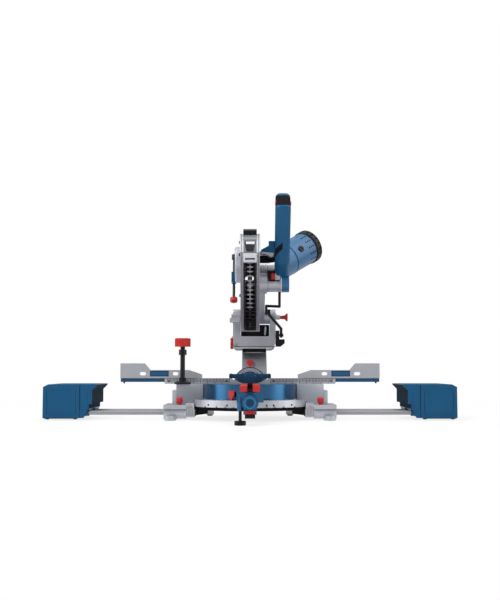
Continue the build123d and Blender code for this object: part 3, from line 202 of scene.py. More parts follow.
def moulded(name, colour, rough, metallic=0.0, grain=900.0, depth=0.12, cloud=0.12, rough_spread=0.08,
            coat=0.0, brushed=None, speck=0.0, shine=0.5):
    """A finish with a fine surface grain, slight clouding of its colour and uneven gloss.
    brushed stretches the grain along one axis, as machining or drawing does."""
    material, add, link, shader = new_material(name)
    place = add("TexCoord")
    mapping = add("Mapping")
    mapping.inputs["Scale"].default_value = brushed or (1, 1, 1)
    link(place.outputs["Object"], mapping.inputs["Vector"])
    fine = add("TexNoise", scale=grain, detail=3.0, roughness=0.6)
    link(mapping.outputs["Vector"], fine.inputs["Vector"])
    broad = add("TexNoise", scale=14.0, detail=4.0)
    link(place.outputs["Object"], broad.inputs["Vector"])
    ramp = add("ValToRGB")
    two_stops(ramp, 0.3, (c * (1 - cloud) for c in colour), 0.7, (min(1, c * (1 + cloud)) for c in colour))
    link(broad.outputs["Fac"], ramp.inputs["Fac"])
    colour_out = ramp.outputs["Color"]
    if speck:
        cells = add("TexVoronoi", scale=grain * 0.5)
        link(place.outputs["Object"], cells.inputs["Vector"])
        dots = add("MapRange")
        set_range(dots, 0.0, 0.25, speck, 0.0)
        link(cells.outputs["Distance"], dots.inputs["Value"])
        mix = add("MixRGB", blend_type="MULTIPLY")
        mix.inputs["Color2"].default_value = (0.55, 0.55, 0.56, 1)
        link(dots.outputs["Result"], mix.inputs["Fac"])
        link(colour_out, mix.inputs["Color1"])
        colour_out = mix.outputs["Color"]
    link(colour_out, shader.inputs["Base Color"])
    gloss = add("MapRange")
    set_range(gloss, 0.0, 1.0, max(0.02, rough - rough_spread), min(1.0, rough + rough_spread))
    link((fine if brushed else broad).outputs["Fac"], gloss.inputs["Value"])
    link(gloss.outputs["Result"], shader.inputs["Roughness"])
    bump = add("Bump", strength=depth, distance=0.0004)
    link(fine.outputs["Fac"], bump.inputs["Height"])
    link(bump.outputs["Normal"], shader.inputs["Normal"])
    for key, value in (("Metallic", metallic), ("Specular IOR Level", shine), ("Coat Weight", coat),
                       ("Coat Roughness", 0.06)):
        shader.inputs[key].default_value = value
    return material


NEAR_BLACK, MATT = 0.03, 0.95


def zone(material, limits, colour):
    """Repaint the part of a finish that lies inside every limit: (measure, side, value) in metres.
    A measure is x, y or z of the solid, ax for its distance from the middle, r from the mitre axis
    or k from the lock knob's axis. A value may be (value, measure, slope). Near black, the part
    also loses its metal and its gloss."""
    tree = material.node_tree
    new, link, math = tree.nodes.new, tree.links.new, calculator(tree)
    parts = new("ShaderNodeSeparateXYZ")
    link(new("ShaderNodeTexCoord").outputs["Object"], parts.inputs[0])

    def away(a, b):
        return math("SQRT", math("ADD", math("MULTIPLY", a, a), math("MULTIPLY", b, b)))

    x, y, z = parts.outputs
    measures = {"x": x, "y": y, "z": z, "ax": math("ABSOLUTE", x), "r": away(x, y),
                "k": away(x, math("SUBTRACT", z, KNOB_Z))}
    share = None
    for measure, side, value in limits:
        if isinstance(value, tuple):
            value = math("ADD", math("MULTIPLY", measures[value[1]], value[2]), value[0])
        inside = math("LESS_THAN" if side == "<" else "GREATER_THAN", measures[measure], value)
        share = inside if share is None else math("MULTIPLY", share, inside)
    shader = tree.nodes["Principled BSDF"]
    mix = new("ShaderNodeMixRGB")
    feed(tree.links, mix, (share, shader.inputs["Base Color"].links[0].from_socket, tuple(colour) + (1,)))
    if max(colour) < NEAR_BLACK:
        metal, gloss = shader.inputs["Metallic"], shader.inputs["Roughness"]
        link(math("MULTIPLY", math("SUBTRACT", 1.0, share), metal.default_value), metal)
        link(math("MAXIMUM", gloss.links[0].from_socket, math("MULTIPLY", share, MATT)), gloss)
    link(mix.outputs["Color"], shader.inputs["Base Color"])


def turned(name, colour, rough, rings=2600.0):
    """Steel turned about the blade's axis: concentric tool marks."""
    material, add, link, shader = new_material(name)
    place = add("TexCoord")
    mapping = add("Mapping")
    mapping.inputs["Location"].default_value = tuple(-c for c in BLADE)
    link(place.outputs["Object"], mapping.inputs["Vector"])
    flat = add("VectorMath", operation="MULTIPLY")
    flat.inputs[1].default_value = (0.0, 1.0, 1.0)
    link(mapping.outputs["Vector"], flat.inputs[0])
    length = add("VectorMath", operation="LENGTH")
    link(flat.outputs["Vector"], length.inputs[0])
    marks = add("TexNoise", noise_dimensions="1D", detail=2.0, scale=rings)
    link(length.outputs["Value"], marks.inputs["W"])
    ramp = add("ValToRGB")
    two_stops(ramp, 0.35, (c * 0.8 for c in colour), 0.65, (min(1, c * 1.1) for c in colour))
    link(marks.outputs["Fac"], ramp.inputs["Fac"])
    link(ramp.outputs["Color"], shader.inputs["Base Color"])
    bump = add("Bump", strength=0.15, distance=0.0002)
    link(marks.outputs["Fac"], bump.inputs["Height"])
    link(bump.outputs["Normal"], shader.inputs["Normal"])
    shader.inputs["Metallic"].default_value = 1.0
    shader.inputs["Roughness"].default_value = rough
    return material


FINISH = {}


def tint(colour, by, lift=0.0):
    """A colour made lighter or darker, then lifted."""
    return tuple(by * c + lift for c in colour)


def make_finishes(choice):
    """Every finish of the saw, by its plain name."""
    blue, silver, red, black, steel = (tuple(getattr(choice, key))
                                       for key in ("blue", "silver", "red", "black", "steel"))
    # The blue lightened is a lit copy of the blue. It is painted highlight on edge lines, the hub's arc and
    # the knob's ring.
    highlight_tint = tint(blue, 1.5, 0.05)

    def make(name, *values, zones=(), **more):
        FINISH[name] = moulded(name, *values, **more)
        for limits, colour in zones:
            zone(FINISH[name], limits, colour)

    def casting(name, shine=0.5, **more):
        make(name, silver, 0.40, 0.45, 700, 0.25, 0.05, 0.06, speck=0.08, shine=shine, **more)

    def plastic(name, colour, rough=0.36, shine=0.22, **more):
        make(name, colour, rough, 0.0, 1500, 0.14, 0.06, 0.05, shine=shine, **more)

    casting("cast_alloy")
    # Below the skirt and inside the dish's radius, the casting is painted black: painted shade under the
    # base.
    casting("base_alloy", 0.2, zones=[((("r", "<", 0.1592), ("z", "<", 0.0356)), black)])
    make("machined_alloy", tint(silver, 1.05), 0.30, 0.6, 260, 0.12, 0.04, 0.08, brushed=(1, 14, 14))
    # Along the kerf, at the front of the table's top, the blue is painted black: painted shade in the kerf
    # slot.
    make("painted_blue", tint(blue, 1.25, 0.022), 0.24, 0.85, 420, 0.06, 0.05, 0.04, coat=0.25, shine=0.3,
         zones=[((("ax", "<", 0.0125), ("y", "<", 0.1), ("z", ">", 0.0790)), black)])
    make("rail_blue", tint(blue, 1.2), 0.3, 0.2, 420, 0.08, 0.05, 0.04)
    plastic("blue_plastic", blue)
    plastic("highlight_blue", highlight_tint)
    # The motor housing's blue is lightened: painted light from above, a lit copy of the housing blue.
    plastic("lit_motor_plastic", tint(blue, 1.35, 0.012), 0.34, 0.5)
    # Inboard of the end panel, behind the front face and below the top, the blue is darkened to a seventh:
    # painted shade on the box's inner wall.
    plastic("box_plastic", blue, zones=[
        ((("ax", "<", 0.4345), ("y", ">", SUPPORT_FACE), ("z", "<", 0.0945)), tint(blue, 0.14))])
    plastic("cover_plastic", blue, zones=[((("z", "<", (0.4705, "x", -0.12)),), silver)])
    plastic("handle_plastic", blue, zones=[
        ((("z", ">", (0.5790, "x", 0.0)), ("z", "<", 0.6115)), black),
        ((("z", "<", (0.4140, "x", 0.78)), ("z", ">", (0.3850, "x", 0.92)), ("x", "<", 0.0900),
          ("y", "<", 0.03)), black)])
    plastic("black_plastic", black, 0.42)
    plastic("red_plastic", red, 0.34)
    # The knob's middle is its blue darkened and a ring is its blue lightened: painted shade and painted
    # highlight.
    plastic("knob_plastic", blue, zones=[((("k", "<", 0.0090),), tint(blue, 0.45)),
                                         ((("k", ">", 0.0118), ("k", "<", 0.0138)), highlight_tint)])
    plastic("lever_plastic", black, zones=[((("z", ">", 0.0282),), red)])
    make("polished_steel", tint(steel, 0.5), 0.34, 0.35, 200, 0.04, 0.04, 0.05, brushed=(1, 20, 20))
    make("polished_rail", steel, 0.15, 1.0, 200, 0.04, 0.04, 0.05, brushed=(20, 1, 20))
    make("plain_steel", tint(steel, 0.85), 0.32, 1.0, 500, 0.08, 0.06, 0.08)
    make("pin_steel", steel, 0.3, 0.6, 500, 0.08, 0.06, 0.08, zones=[((("x", ">", 0.0885),), red)])
    make("stop_steel", tint(black, 1.5), 0.3, 0.2, 2500, 0.5, 0.1, 0.05,
         zones=[((("z", "<", 0.3530),), red)])
    make("black_steel", black, 0.34, 0.0, 700, 0.12, 0.15, 0.08, shine=0.3)
    make("scale_steel", tint(silver, 1.05), 0.33, 0.45, 300, 0.08, 0.04, 0.06, brushed=(16, 16, 1))
    make("fence_alloy", tint(silver, 0.9), 0.38, 0.4, 300, 0.12, 0.05, 0.06, brushed=(1, 16, 16))
    make("bronze", (0.50, 0.33, 0.12), 0.35, 1.0, 500, 0.1, 0.08, 0.08)
    make("rubber", (0.013, 0.014, 0.016), 0.8, 0.0, 900, 0.4, 0.1, 0.04, shine=0.15)
    make("ink", (0.012, 0.012, 0.014), 0.5, 0.0, 1500, 0.05, 0.05, 0.05, shine=0.1)
    make("white_ink", (0.75, 0.76, 0.78), 0.5, 0.0, 1500, 0.05, 0.04, 0.05)
    make("carbide", (0.30, 0.30, 0.31), 0.28, 0.9, 900, 0.06, 0.1, 0.08)
    # The casting's colour lightened by a quarter is a lit copy of the casting. It is painted highlight on
    # the beads, lip, rails, ribs, flange, clip, spring and arc that use it.
    make("bright_alloy", tuple(min(1, c) for c in tint(silver, 1.25)), 0.28, 0.35, 700, 0.12, 0.04, 0.05)
    # The casting's colour darkened to three tenths is a shaded copy of the casting. It is painted shade on
    # the guard's front frame and plate, and on the base's collar ribs.
    make("shaded_alloy", tint(silver, 0.30), 0.4, 0.4, 700, 0.2, 0.06, 0.06)
    # A strip up the middle of the upper part is painted grey silver: painted highlight, the blade's shine
    # seen through the guard's slots.
    make("smoked", (0.012, 0.013, 0.016), 0.45, 0.0, 700, 0.03, 0.1, 0.04, shine=0.2,
         zones=[((("ax", "<", 0.0070), ("z", ">", 0.3000)), tint(silver, 0.45))])
    FINISH["blade_steel"] = turned("blade_steel", tint(steel, 0.95), 0.26)
    FINISH["flange_steel"] = turned("flange_steel", tint(steel, 0.8), 0.32)


NODE_FINISH = {
    "cast_alloy": ("tilt_arm", "yoke", "head_casting", "upper_guard"),
    "base_alloy": ("base_casting",),
    "machined_alloy": ("fixed_fence_left", "fixed_fence_right"),
    "fence_alloy": ("sliding_fence_left", "sliding_fence_right"),
    "painted_blue": ("turntable",),
    "rail_blue": ("fence_slide_left", "fence_slide_right"),
    "box_plastic": ("extension_box_left", "extension_box_right"),
    "cover_plastic": ("head_cover",),
    "handle_plastic": ("handle",),
    "lit_motor_plastic": ("motor_housing",),
    "knob_plastic": ("mitre_lock_knob",),
    "blue_plastic": ("depth_stop_bracket",),
    "black_plastic": ("clamp_pad", "anti_tip_foot", "bevel_lock_lever", "rail_end_cap", "dust_port",
                      "guard_top_cap", "motor_end_cap", "trigger"),
    "red_plastic": ("clamp_knob", "kerf_inserts", "mitre_pointer", "bevel_pointer", "slide_lock_knob",
                    "spindle_lock_button", "lock_off_button", "rod_lock_knob_left",
                    "rod_lock_knob_right"),
    "lever_plastic": ("detent_lever",),
    "polished_steel": ("extension_rods_left", "extension_rods_right"),
    "polished_rail": ("slide_rails",),
    "stop_steel": ("depth_stop_screw",),
    "pin_steel": ("transport_pin",),
    "plain_steel": ("turntable_pivot_bolt", "bevel_stop_screws", "bevel_axle", "pivot_axle"),
    "black_steel": ("clamp_post", "clamp_arm", "clamp_spindle", "anti_tip_screw", "link_bracket",
                    "guard_link", "head_link_rod"),
    "scale_steel": ("mitre_detent_plate",),
    "bronze": ("rail_bushes",),
    "rubber": ("base_feet",),
    "blade_steel": ("saw_blade",),
    "flange_steel": ("blade_flanges", "arbor"),
    "smoked": ("lower_guard",),
}


# ------------------------------------------------------------------ mesh helpers

def mesh_object(name, build, finish=None, merge=1e-6):
    """A new object whose mesh is filled by build(bm), with one finish or none."""
    bm = bmesh.new()
    build(bm)
    bmesh.ops.remove_doubles(bm, verts=bm.verts, dist=merge)
    bmesh.ops.recalc_face_normals(bm, faces=bm.faces)
    mesh = bpy.data.meshes.new(name)
    bm.to_mesh(mesh)
    bm.free()
    if finish:
        mesh.materials.append(FINISH[finish])
    item = bpy.data.objects.new(name, mesh)
    bpy.context.scene.collection.objects.link(item)
    return item


def settle(item, body, slot):
    """Turn live modifiers into a plain mesh, then ride the body."""
    if item.modifiers:
        graph = bpy.context.evaluated_depsgraph_get()
        plain = bpy.data.meshes.new_from_object(item.evaluated_get(graph))
        item.modifiers.clear()
        item.data = plain
    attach(item, body)
    return item


def shade(item, angle):
    """Smooth faces, split at sharp edges."""
    for face in item.data.polygons:
        face.use_smooth = True
    item.data.set_sharp_from_angle(angle=radians(angle))


def bridge(bm, first, second):
    """Faces between two loops of as many points."""
    for i in range(len(first)):
        j = (i + 1) % len(first)
        bm.faces.new((first[i], first[j], second[j], second[i]))


def on_axis(axis, a, b, h):
    """A point at height h on one axis, with a and b on the other two."""
    return Vector((h, a, b)) if axis == 0 else Vector((a, h, b)) if axis == 1 else Vector((a, b, h))


def ring_profile(bm, profile, centre, axis, steps):
    """Revolve a closed line of (radius, along) points about an axis through centre."""
    along = Vector(axis).normalized()
    side = along.orthogonal().normalized()
    other = along.cross(side)
    rows = []
    for k in range(steps):
        way = side * cos(tau * k / steps) + other * sin(tau * k / steps)
        rows.append([bm.verts.new(Vector(centre) + way * r + along * h) for r, h in profile])
    for first, second in zip(rows, rows[1:] + rows[:1]):
        bridge(bm, first, second)


def prism(bm, outline, low, high, axis=0):
    """Extrude a flat outline between two heights on one axis. The outline is on the other two."""
    bottom = [bm.verts.new(on_axis(axis, a, b, low)) for a, b in outline]
    top = [bm.verts.new(on_axis(axis, a, b, high)) for a, b in outline]
    bm.faces.new(list(reversed(bottom)))
    bm.faces.new(top)
    bridge(bm, bottom, top)


def slab(bm, low, high):
    """A box between two corners."""
    prism(bm, [(low[0], low[1]), (high[0], low[1]), (high[0], high[1]), (low[0], high[1])],
          low[2], high[2], axis=2)


def tube(bm, points, radius, sides):
    """A round tube through the points, with flat ends."""
    rows = []
    points = [Vector(p) for p in points]
    normal = None
    for k, point in enumerate(points):
        before = points[max(0, k - 1)]
        after = points[min(len(points) - 1, k + 1)]
        way = (after - before).normalized()
        if normal is None:
            normal = way.orthogonal().normalized()
        normal = (normal - way * normal.dot(way)).normalized()
        other = way.cross(normal)
        rows.append([bm.verts.new(point + radius * (normal * cos(tau * i / sides)
                                                    + other * sin(tau * i / sides)))
                     for i in range(sides)])
    for first, second in zip(rows, rows[1:]):
        bridge(bm, first, second)
    bm.faces.new(list(reversed(rows[0])))
    bm.faces.new(rows[-1])


def ring_prism(bm, outer, inner, low, high, axis=0):
    """A closed band between two outlines of as many points, extruded along one axis."""
    loops = [[bm.verts.new(on_axis(axis, a, b, h)) for a, b in line]
             for line, h in ((outer, low), (outer, high), (inner, high), (inner, low))]
    for first, second in zip(loops, loops[1:] + loops[:1]):
        bridge(bm, first, second)


def bevelled(item, width, segments):
    """Round the edges of a piece."""
    edge = item.modifiers.new("round", "BEVEL")
    edge.width = width
    edge.segments = segments
    edge.limit_method = "ANGLE"
    edge.harden_normals = False


def piece(name, build, finish, body, slot, rounding=0.0, smooth=None, segments=2):
    """Build a piece, round its edges and put it on its body."""
    item = mesh_object(name, build, finish)
    if smooth:
        shade(item, smooth)
    if rounding:
        bevelled(item, rounding, segments)
    return settle(item, body, slot)


def bar(name, points, radius, finish, body, slot, sides=8):
    """A round bar through the points."""
    piece(name, lambda bm: tube(bm, points, radius, sides), finish, body, slot, smooth=40)


def lathe(name, profile, centre, axis, steps, finish, body, slot, smooth=40):
    """A turned piece, from its closed profile."""
    piece(name, lambda bm: ring_profile(bm, profile, centre, axis, steps), finish, body, slot,
          smooth=smooth)


def block(name, low, high, finish, body, slot, rounding=0.0, segments=2):
    """A box between two corners, with its edges rounded."""
    piece(name, lambda bm: slab(bm, low, high), finish, body, slot, rounding, segments=segments)


# ------------------------------------------------------------------ geometry nodes

class Tree:
    """A small geometry node tree, with its sockets set up by name."""

    def __init__(self, name, inputs):
        self.tree = bpy.data.node_groups.new(name, "GeometryNodeTree")
        face = self.tree.interface
        face.new_socket("Geometry", in_out="OUTPUT", socket_type="NodeSocketGeometry")
        face.new_socket("Geometry", in_out="INPUT", socket_type="NodeSocketGeometry")
        for label, kind in inputs:
            face.new_socket(label, in_out="INPUT", socket_type="NodeSocket" + kind)
        self.math = calculator(self.tree)
        self.start = self.tree.nodes.new("NodeGroupInput")
        self.end = self.tree.nodes.new("NodeGroupOutput")

    def add(self, kind, settings=None, **values):
        node = self.tree.nodes.new(kind)
        for key, value in (settings or {}).items():
            setattr(node, key, value)
        for key, value in values.items():
            socket = node.inputs[int(key[1:])] if key[0] == "i" and key[1:].isdigit() else node.inputs[key]
            if isinstance(value, bpy.types.NodeSocket):
                self.tree.links.new(value, socket)
            else:
                socket.default_value = value
        return node

    def vector(self, x, y, z):
        node = self.tree.nodes.new("ShaderNodeCombineXYZ")
        feed(self.tree.links, node, (x, y, z))
        return node.outputs[0]

    def finish(self, geometry, material):
        real = self.add("GeometryNodeRealizeInstances", Geometry=geometry)
        paint = self.add("GeometryNodeSetMaterial", Geometry=real.outputs[0], Material=material)
        self.tree.links.new(paint.outputs[0], self.end.inputs[0])
        return self.tree


def row_tree():
    """A straight row of blocks. Every so many is longer, towards the row's up side."""
    t = Tree("row_of_blocks", [("Count", "Int"), ("Start", "Vector"), ("Step", "Vector"),
                               ("Size", "Vector"), ("Up", "Vector"), ("Long Every", "Int"),
                               ("Long Factor", "Float"), ("Material", "Material")])
    s = t.start.outputs
    line = t.add("GeometryNodeMeshLine", {"mode": "OFFSET"}, Count=s["Count"], Offset=s["Step"])
    t.tree.links.new(s["Start"], line.inputs["Start Location"])
    index = t.add("GeometryNodeInputIndex").outputs[0]
    is_long = t.math("LESS_THAN", t.math("MODULO", index, s["Long Every"]), 0.5)
    extra = t.math("MULTIPLY", is_long, t.math("SUBTRACT", s["Long Factor"], 1.0))
    block = t.add("GeometryNodeMeshCube", Size=s["Size"])
    lift = t.add("ShaderNodeVectorMath", {"operation": "SCALE"}, i0=s["Up"])
    t.tree.links.new(t.math("MULTIPLY", extra, 0.5), lift.inputs["Scale"])
    moved = t.add("GeometryNodeSetPosition", Geometry=line.outputs[0], Offset=lift.outputs[0])
    stretch = t.add("ShaderNodeVectorMath", {"operation": "ABSOLUTE"}, i0=s["Up"])
    unit = t.add("ShaderNodeVectorMath", {"operation": "NORMALIZE"}, i0=stretch.outputs[0])
    grow = t.add("ShaderNodeVectorMath", {"operation": "SCALE"}, i0=unit.outputs[0])
    t.tree.links.new(extra, grow.inputs["Scale"])
    scale = t.add("ShaderNodeVectorMath", {"operation": "ADD"}, i0=grow.outputs[0], i1=(1, 1, 1))
    spread = t.add("GeometryNodeInstanceOnPoints", Points=moved.outputs[0], Instance=block.outputs[0])
    t.tree.links.new(scale.outputs[0], spread.inputs["Scale"])
    return t.finish(spread.outputs[0], s["Material"])


def arc_tree():
    """Blocks set round an arc in the XY plane, then turned and moved into place."""
    t = Tree("arc_of_blocks", [("Count", "Int"), ("Radius", "Float"), ("Start", "Float"),
                               ("Step", "Float"), ("Size", "Vector"), ("Long Every", "Int"),
                               ("Long Factor", "Float"), ("Centre", "Vector"), ("Turn", "Rotation"),
                               ("Material", "Material")])
    s = t.start.outputs
    line = t.add("GeometryNodeMeshLine", Count=s["Count"])
    index = t.add("GeometryNodeInputIndex").outputs[0]
    angle = t.math("ADD", s["Start"], t.math("MULTIPLY", index, s["Step"]))
    is_long = t.math("LESS_THAN", t.math("MODULO", index, s["Long Every"]), 0.5)
    extra = t.math("MULTIPLY", is_long, t.math("SUBTRACT", s["Long Factor"], 1.0))
    size = t.add("ShaderNodeSeparateXYZ", Vector=s["Size"])
    reach = t.math("ADD", s["Radius"],
                   t.math("MULTIPLY", extra, t.math("MULTIPLY", size.outputs[0], -0.5)))
    point = t.vector(t.math("MULTIPLY", reach, t.math("COSINE", angle)),
                     t.math("MULTIPLY", reach, t.math("SINE", angle)), 0.0)
    placed = t.add("GeometryNodeSetPosition", Geometry=line.outputs[0], Position=point)
    block = t.add("GeometryNodeMeshCube", Size=s["Size"])
    turn = t.add("FunctionNodeEulerToRotation", i0=t.vector(0.0, 0.0, angle))
    scale = t.vector(t.math("ADD", extra, 1.0), 1.0, 1.0)
    spread = t.add("GeometryNodeInstanceOnPoints", Points=placed.outputs[0],
                   Instance=block.outputs[0], Rotation=turn.outputs[0], Scale=scale)
    place = t.add("GeometryNodeTransform", Geometry=spread.outputs[0], Translation=s["Centre"],
                  Rotation=s["Turn"])
    return t.finish(place.outputs[0], s["Material"])


def seat_tree():
    """A template piece on every point, standing along the point's own 'facing' direction."""
    t = Tree("pieces_on_seats", [("Piece", "Object"), ("Material", "Material")])
    s = t.start.outputs
    facing = t.add("GeometryNodeInputNamedAttribute", {"data_type": "FLOAT_VECTOR"}, Name="facing")
    align = t.add("FunctionNodeAlignRotationToVector", {"axis": "Z"}, Vector=facing.outputs[0])
    size = t.add("GeometryNodeInputNamedAttribute", {"data_type": "FLOAT"}, Name="size")
    piece = t.add("GeometryNodeObjectInfo", Object=s["Piece"])
    spread = t.add("GeometryNodeInstanceOnPoints", Points=s["Geometry"],
                   Instance=piece.outputs["Geometry"], Rotation=align.outputs[0])
    t.tree.links.new(size.outputs[0], spread.inputs["Scale"])
    return t.finish(spread.outputs[0], s["Material"])


TREES = {}


def grown(name, tree, values, body, slot, points=None, smooth=None):
    """Run a node tree on a new object, keep its mesh and ride the body."""
    if tree not in TREES:
        TREES[tree] = {"row": row_tree, "arc": arc_tree, "seat": seat_tree}[tree]()
    mesh = bpy.data.meshes.new(name)
    if points:
        mesh.from_pydata([p[0] for p in points], [], [])
        mesh.attributes.new("facing", "FLOAT_VECTOR", "POINT")
        mesh.attributes.new("size", "FLOAT", "POINT")
        facing, size = mesh.attributes["facing"].data, mesh.attributes["size"].data
        for i, (_, way, scale) in enumerate(points):
            facing[i].vector = Vector(way).normalized()
            size[i].value = scale
    item = bpy.data.objects.new(name, mesh)
    bpy.context.scene.collection.objects.link(item)
    modifier = item.modifiers.new("grow", "NODES")
    modifier.node_group = TREES[tree]
    names = {socket.name: socket.identifier for socket in TREES[tree].interface.items_tree
             if socket.in_out == "INPUT"}
    for key, value in values.items():
        modifier[names[key]] = value
    settle(item, body, slot)
    if smooth:
        shade(item, smooth)
    return item


def ticks(name, tree, body, slot, finish, every=1, factor=1.0, **values):
    """A row or an arc of blocks. Every so many is longer by the factor."""
    grown(name, tree, {**values, "Long Every": every, "Long Factor": factor,
                       "Material": FINISH[finish]}, body, slot)


def template(name, build):
    """A small piece at the origin that node trees copy. It is removed at the end of its operator."""
    return mesh_object(name, build, merge=1e-7)


def cap_screw(bm):
    """A socket-head screw of unit head radius, seated at Z = 0."""
    ring_profile(bm, [(1.0, -0.4), (1.0, 0.75), (0.85, 0.95), (0.52, 0.95), (0.46, 0.35), (0.001, 0.35),
                      (0.001, -0.4)], (0, 0, 0), (0, 0, 1), steps=18)


def pan_screw(bm):
    """A low domed screw of unit head radius with a round recess."""
    ring_profile(bm, [(1.0, -0.4), (1.0, 0.12), (0.8, 0.42), (0.42, 0.55), (0.36, 0.15), (0.001, 0.15),
                      (0.001, -0.4)], (0, 0, 0), (0, 0, 1), steps=18)


# ------------------------------------------------------------------ operators

class SAW_OT_finishes(bpy.types.Operator):
    """Give every solid its finish."""
    bl_idname = "saw.finishes"
    bl_label = "Finishes"

    def execute(self, context):
        make_finishes(context.scene.saw_finish)
        for finish, names in NODE_FINISH.items():
            for name in names:
                item = NODES[name]
                item.data.materials.clear()
                item.data.materials.append(FINISH[finish])
        return {"FINISHED"}


class SAW_OT_scales(bpy.types.Operator):
    """Ticks on the fence, mitre and bevel scales."""
    bl_idname = "saw.scales"
    bl_label = "Scales"

    def execute(self, context):
        trim = context.scene.saw_trim
        first, tall, off = 0.058, 0.0085, trim.mark_height
        for side, way in (("right", 1), ("left", -1)):
            low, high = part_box("fixed_fence_" + side)
            count = int((max(abs(low.x), abs(high.x)) - 0.004 - first) / trim.tick_step) + 1
            ticks("fence_ticks_" + side, "row", "base", "cast_silver", "ink", 5, 1.5, Count=count,
                  Start=(way * first, low.y - off / 2, high.z - 0.0055), Step=(way * trim.tick_step, 0, 0),
                  Size=(trim.tick_width, off, tall), Up=(0, 0, -tall))
        low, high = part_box("mitre_detent_plate")
        ticks("mitre_ticks", "arc", "base", "scale_plate", "ink", 5, 2.2,
              Count=2 * MITRE_TICKS_EACH_WAY + 1, Radius=MITRE_TICK_R,
              Start=radians(-90 - MITRE_TICKS_EACH_WAY), Step=radians(1),
              Size=(0.005, trim.tick_width * 0.7, off), Centre=(0, 0, high.z + off / 2), Turn=(0, 0, 0))
        low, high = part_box("tilt_arm")
        ticks("bevel_ticks", "arc", "bevel_arm", "cast_silver", "ink", 5, 1.9, Count=61,
              Radius=BEVEL_TICK_R, Start=radians(30), Step=radians(2),
              Size=(0.0026, trim.tick_width * 0.55, off), Centre=(0, low.y - off / 2, BEVEL_Z),
              Turn=(pi / 2, 0, 0))
        return {"FINISHED"}


def head_fan(low, high, radius, count):
    """Points (y, z) on an arc about the blade, between two angles in degrees from +Y."""
    return [(BLADE[1] + radius * cos(radians(low + (high - low) * i / count)),
             BLADE[2] + radius * sin(radians(low + (high - low) * i / count))) for i in range(count + 1)]


def rim_band(bm, low, high, inner, outer, left, right, count=8):
    """A band on the guard's rim: an arc-shaped block across the guard."""
    outline = head_fan(low, high, outer, count) + head_fan(high, low, inner, count)
    prism(bm, outline, left, right)


def cut_prism(bm, points, low, high):
    """A prism across the head. Its outline is in the head's cutting frame, in mm from the pivot."""
    prism(bm, [raised(y, z) for y, z in points], low, high)


def band(name, finish, slot, rounding, *bands):
    """A piece made of bands on the guard's rim."""
    piece(name, lambda bm: [rim_band(bm, *values) for values in bands], finish, "head", slot, rounding)


def case_outline(grow, steps=14):
    """The gear case's outline, grown: two circles and the lines that touch both."""
    near, far = Vector((BLADE[1], BLADE[2])), Vector((MOTOR_ROOT.y, MOTOR_ROOT.z))
    small, large = CASE_NEAR_R + grow, CASE_FAR_R + grow
    way = far - near
    base, half = atan2(way.y, way.x), pi / 2 + asin((large - small) / way.length)
    points = []
    for centre, radius, start, sweep in ((far, large, base - half, 2 * half),
                                         (near, small, base + half, tau - 2 * half)):
        for i in range(steps + 1):
            turn = start + sweep * i / steps
            points.append((centre.x + radius * cos(turn), centre.y + radius * sin(turn)))
    return points


class SAW_OT_blade(bpy.types.Operator):
    """Carbide tips on the blade's teeth."""
    bl_idname = "saw.blade"
    bl_label = "Blade tips"

    def execute(self, context):
        teeth = context.scene.saw_trim.teeth
        ticks("blade_tips", "arc", "blade", "steel_bright", "carbide", Count=teeth, Radius=TOOTH_TIP_R,
              Start=radians(1.1) - STROKE, Step=tau / teeth, Size=(0.0052, 0.0022, 0.0032), Centre=BLADE,
              Turn=(pi / 2, 0, pi / 2))
        return {"FINISHED"}


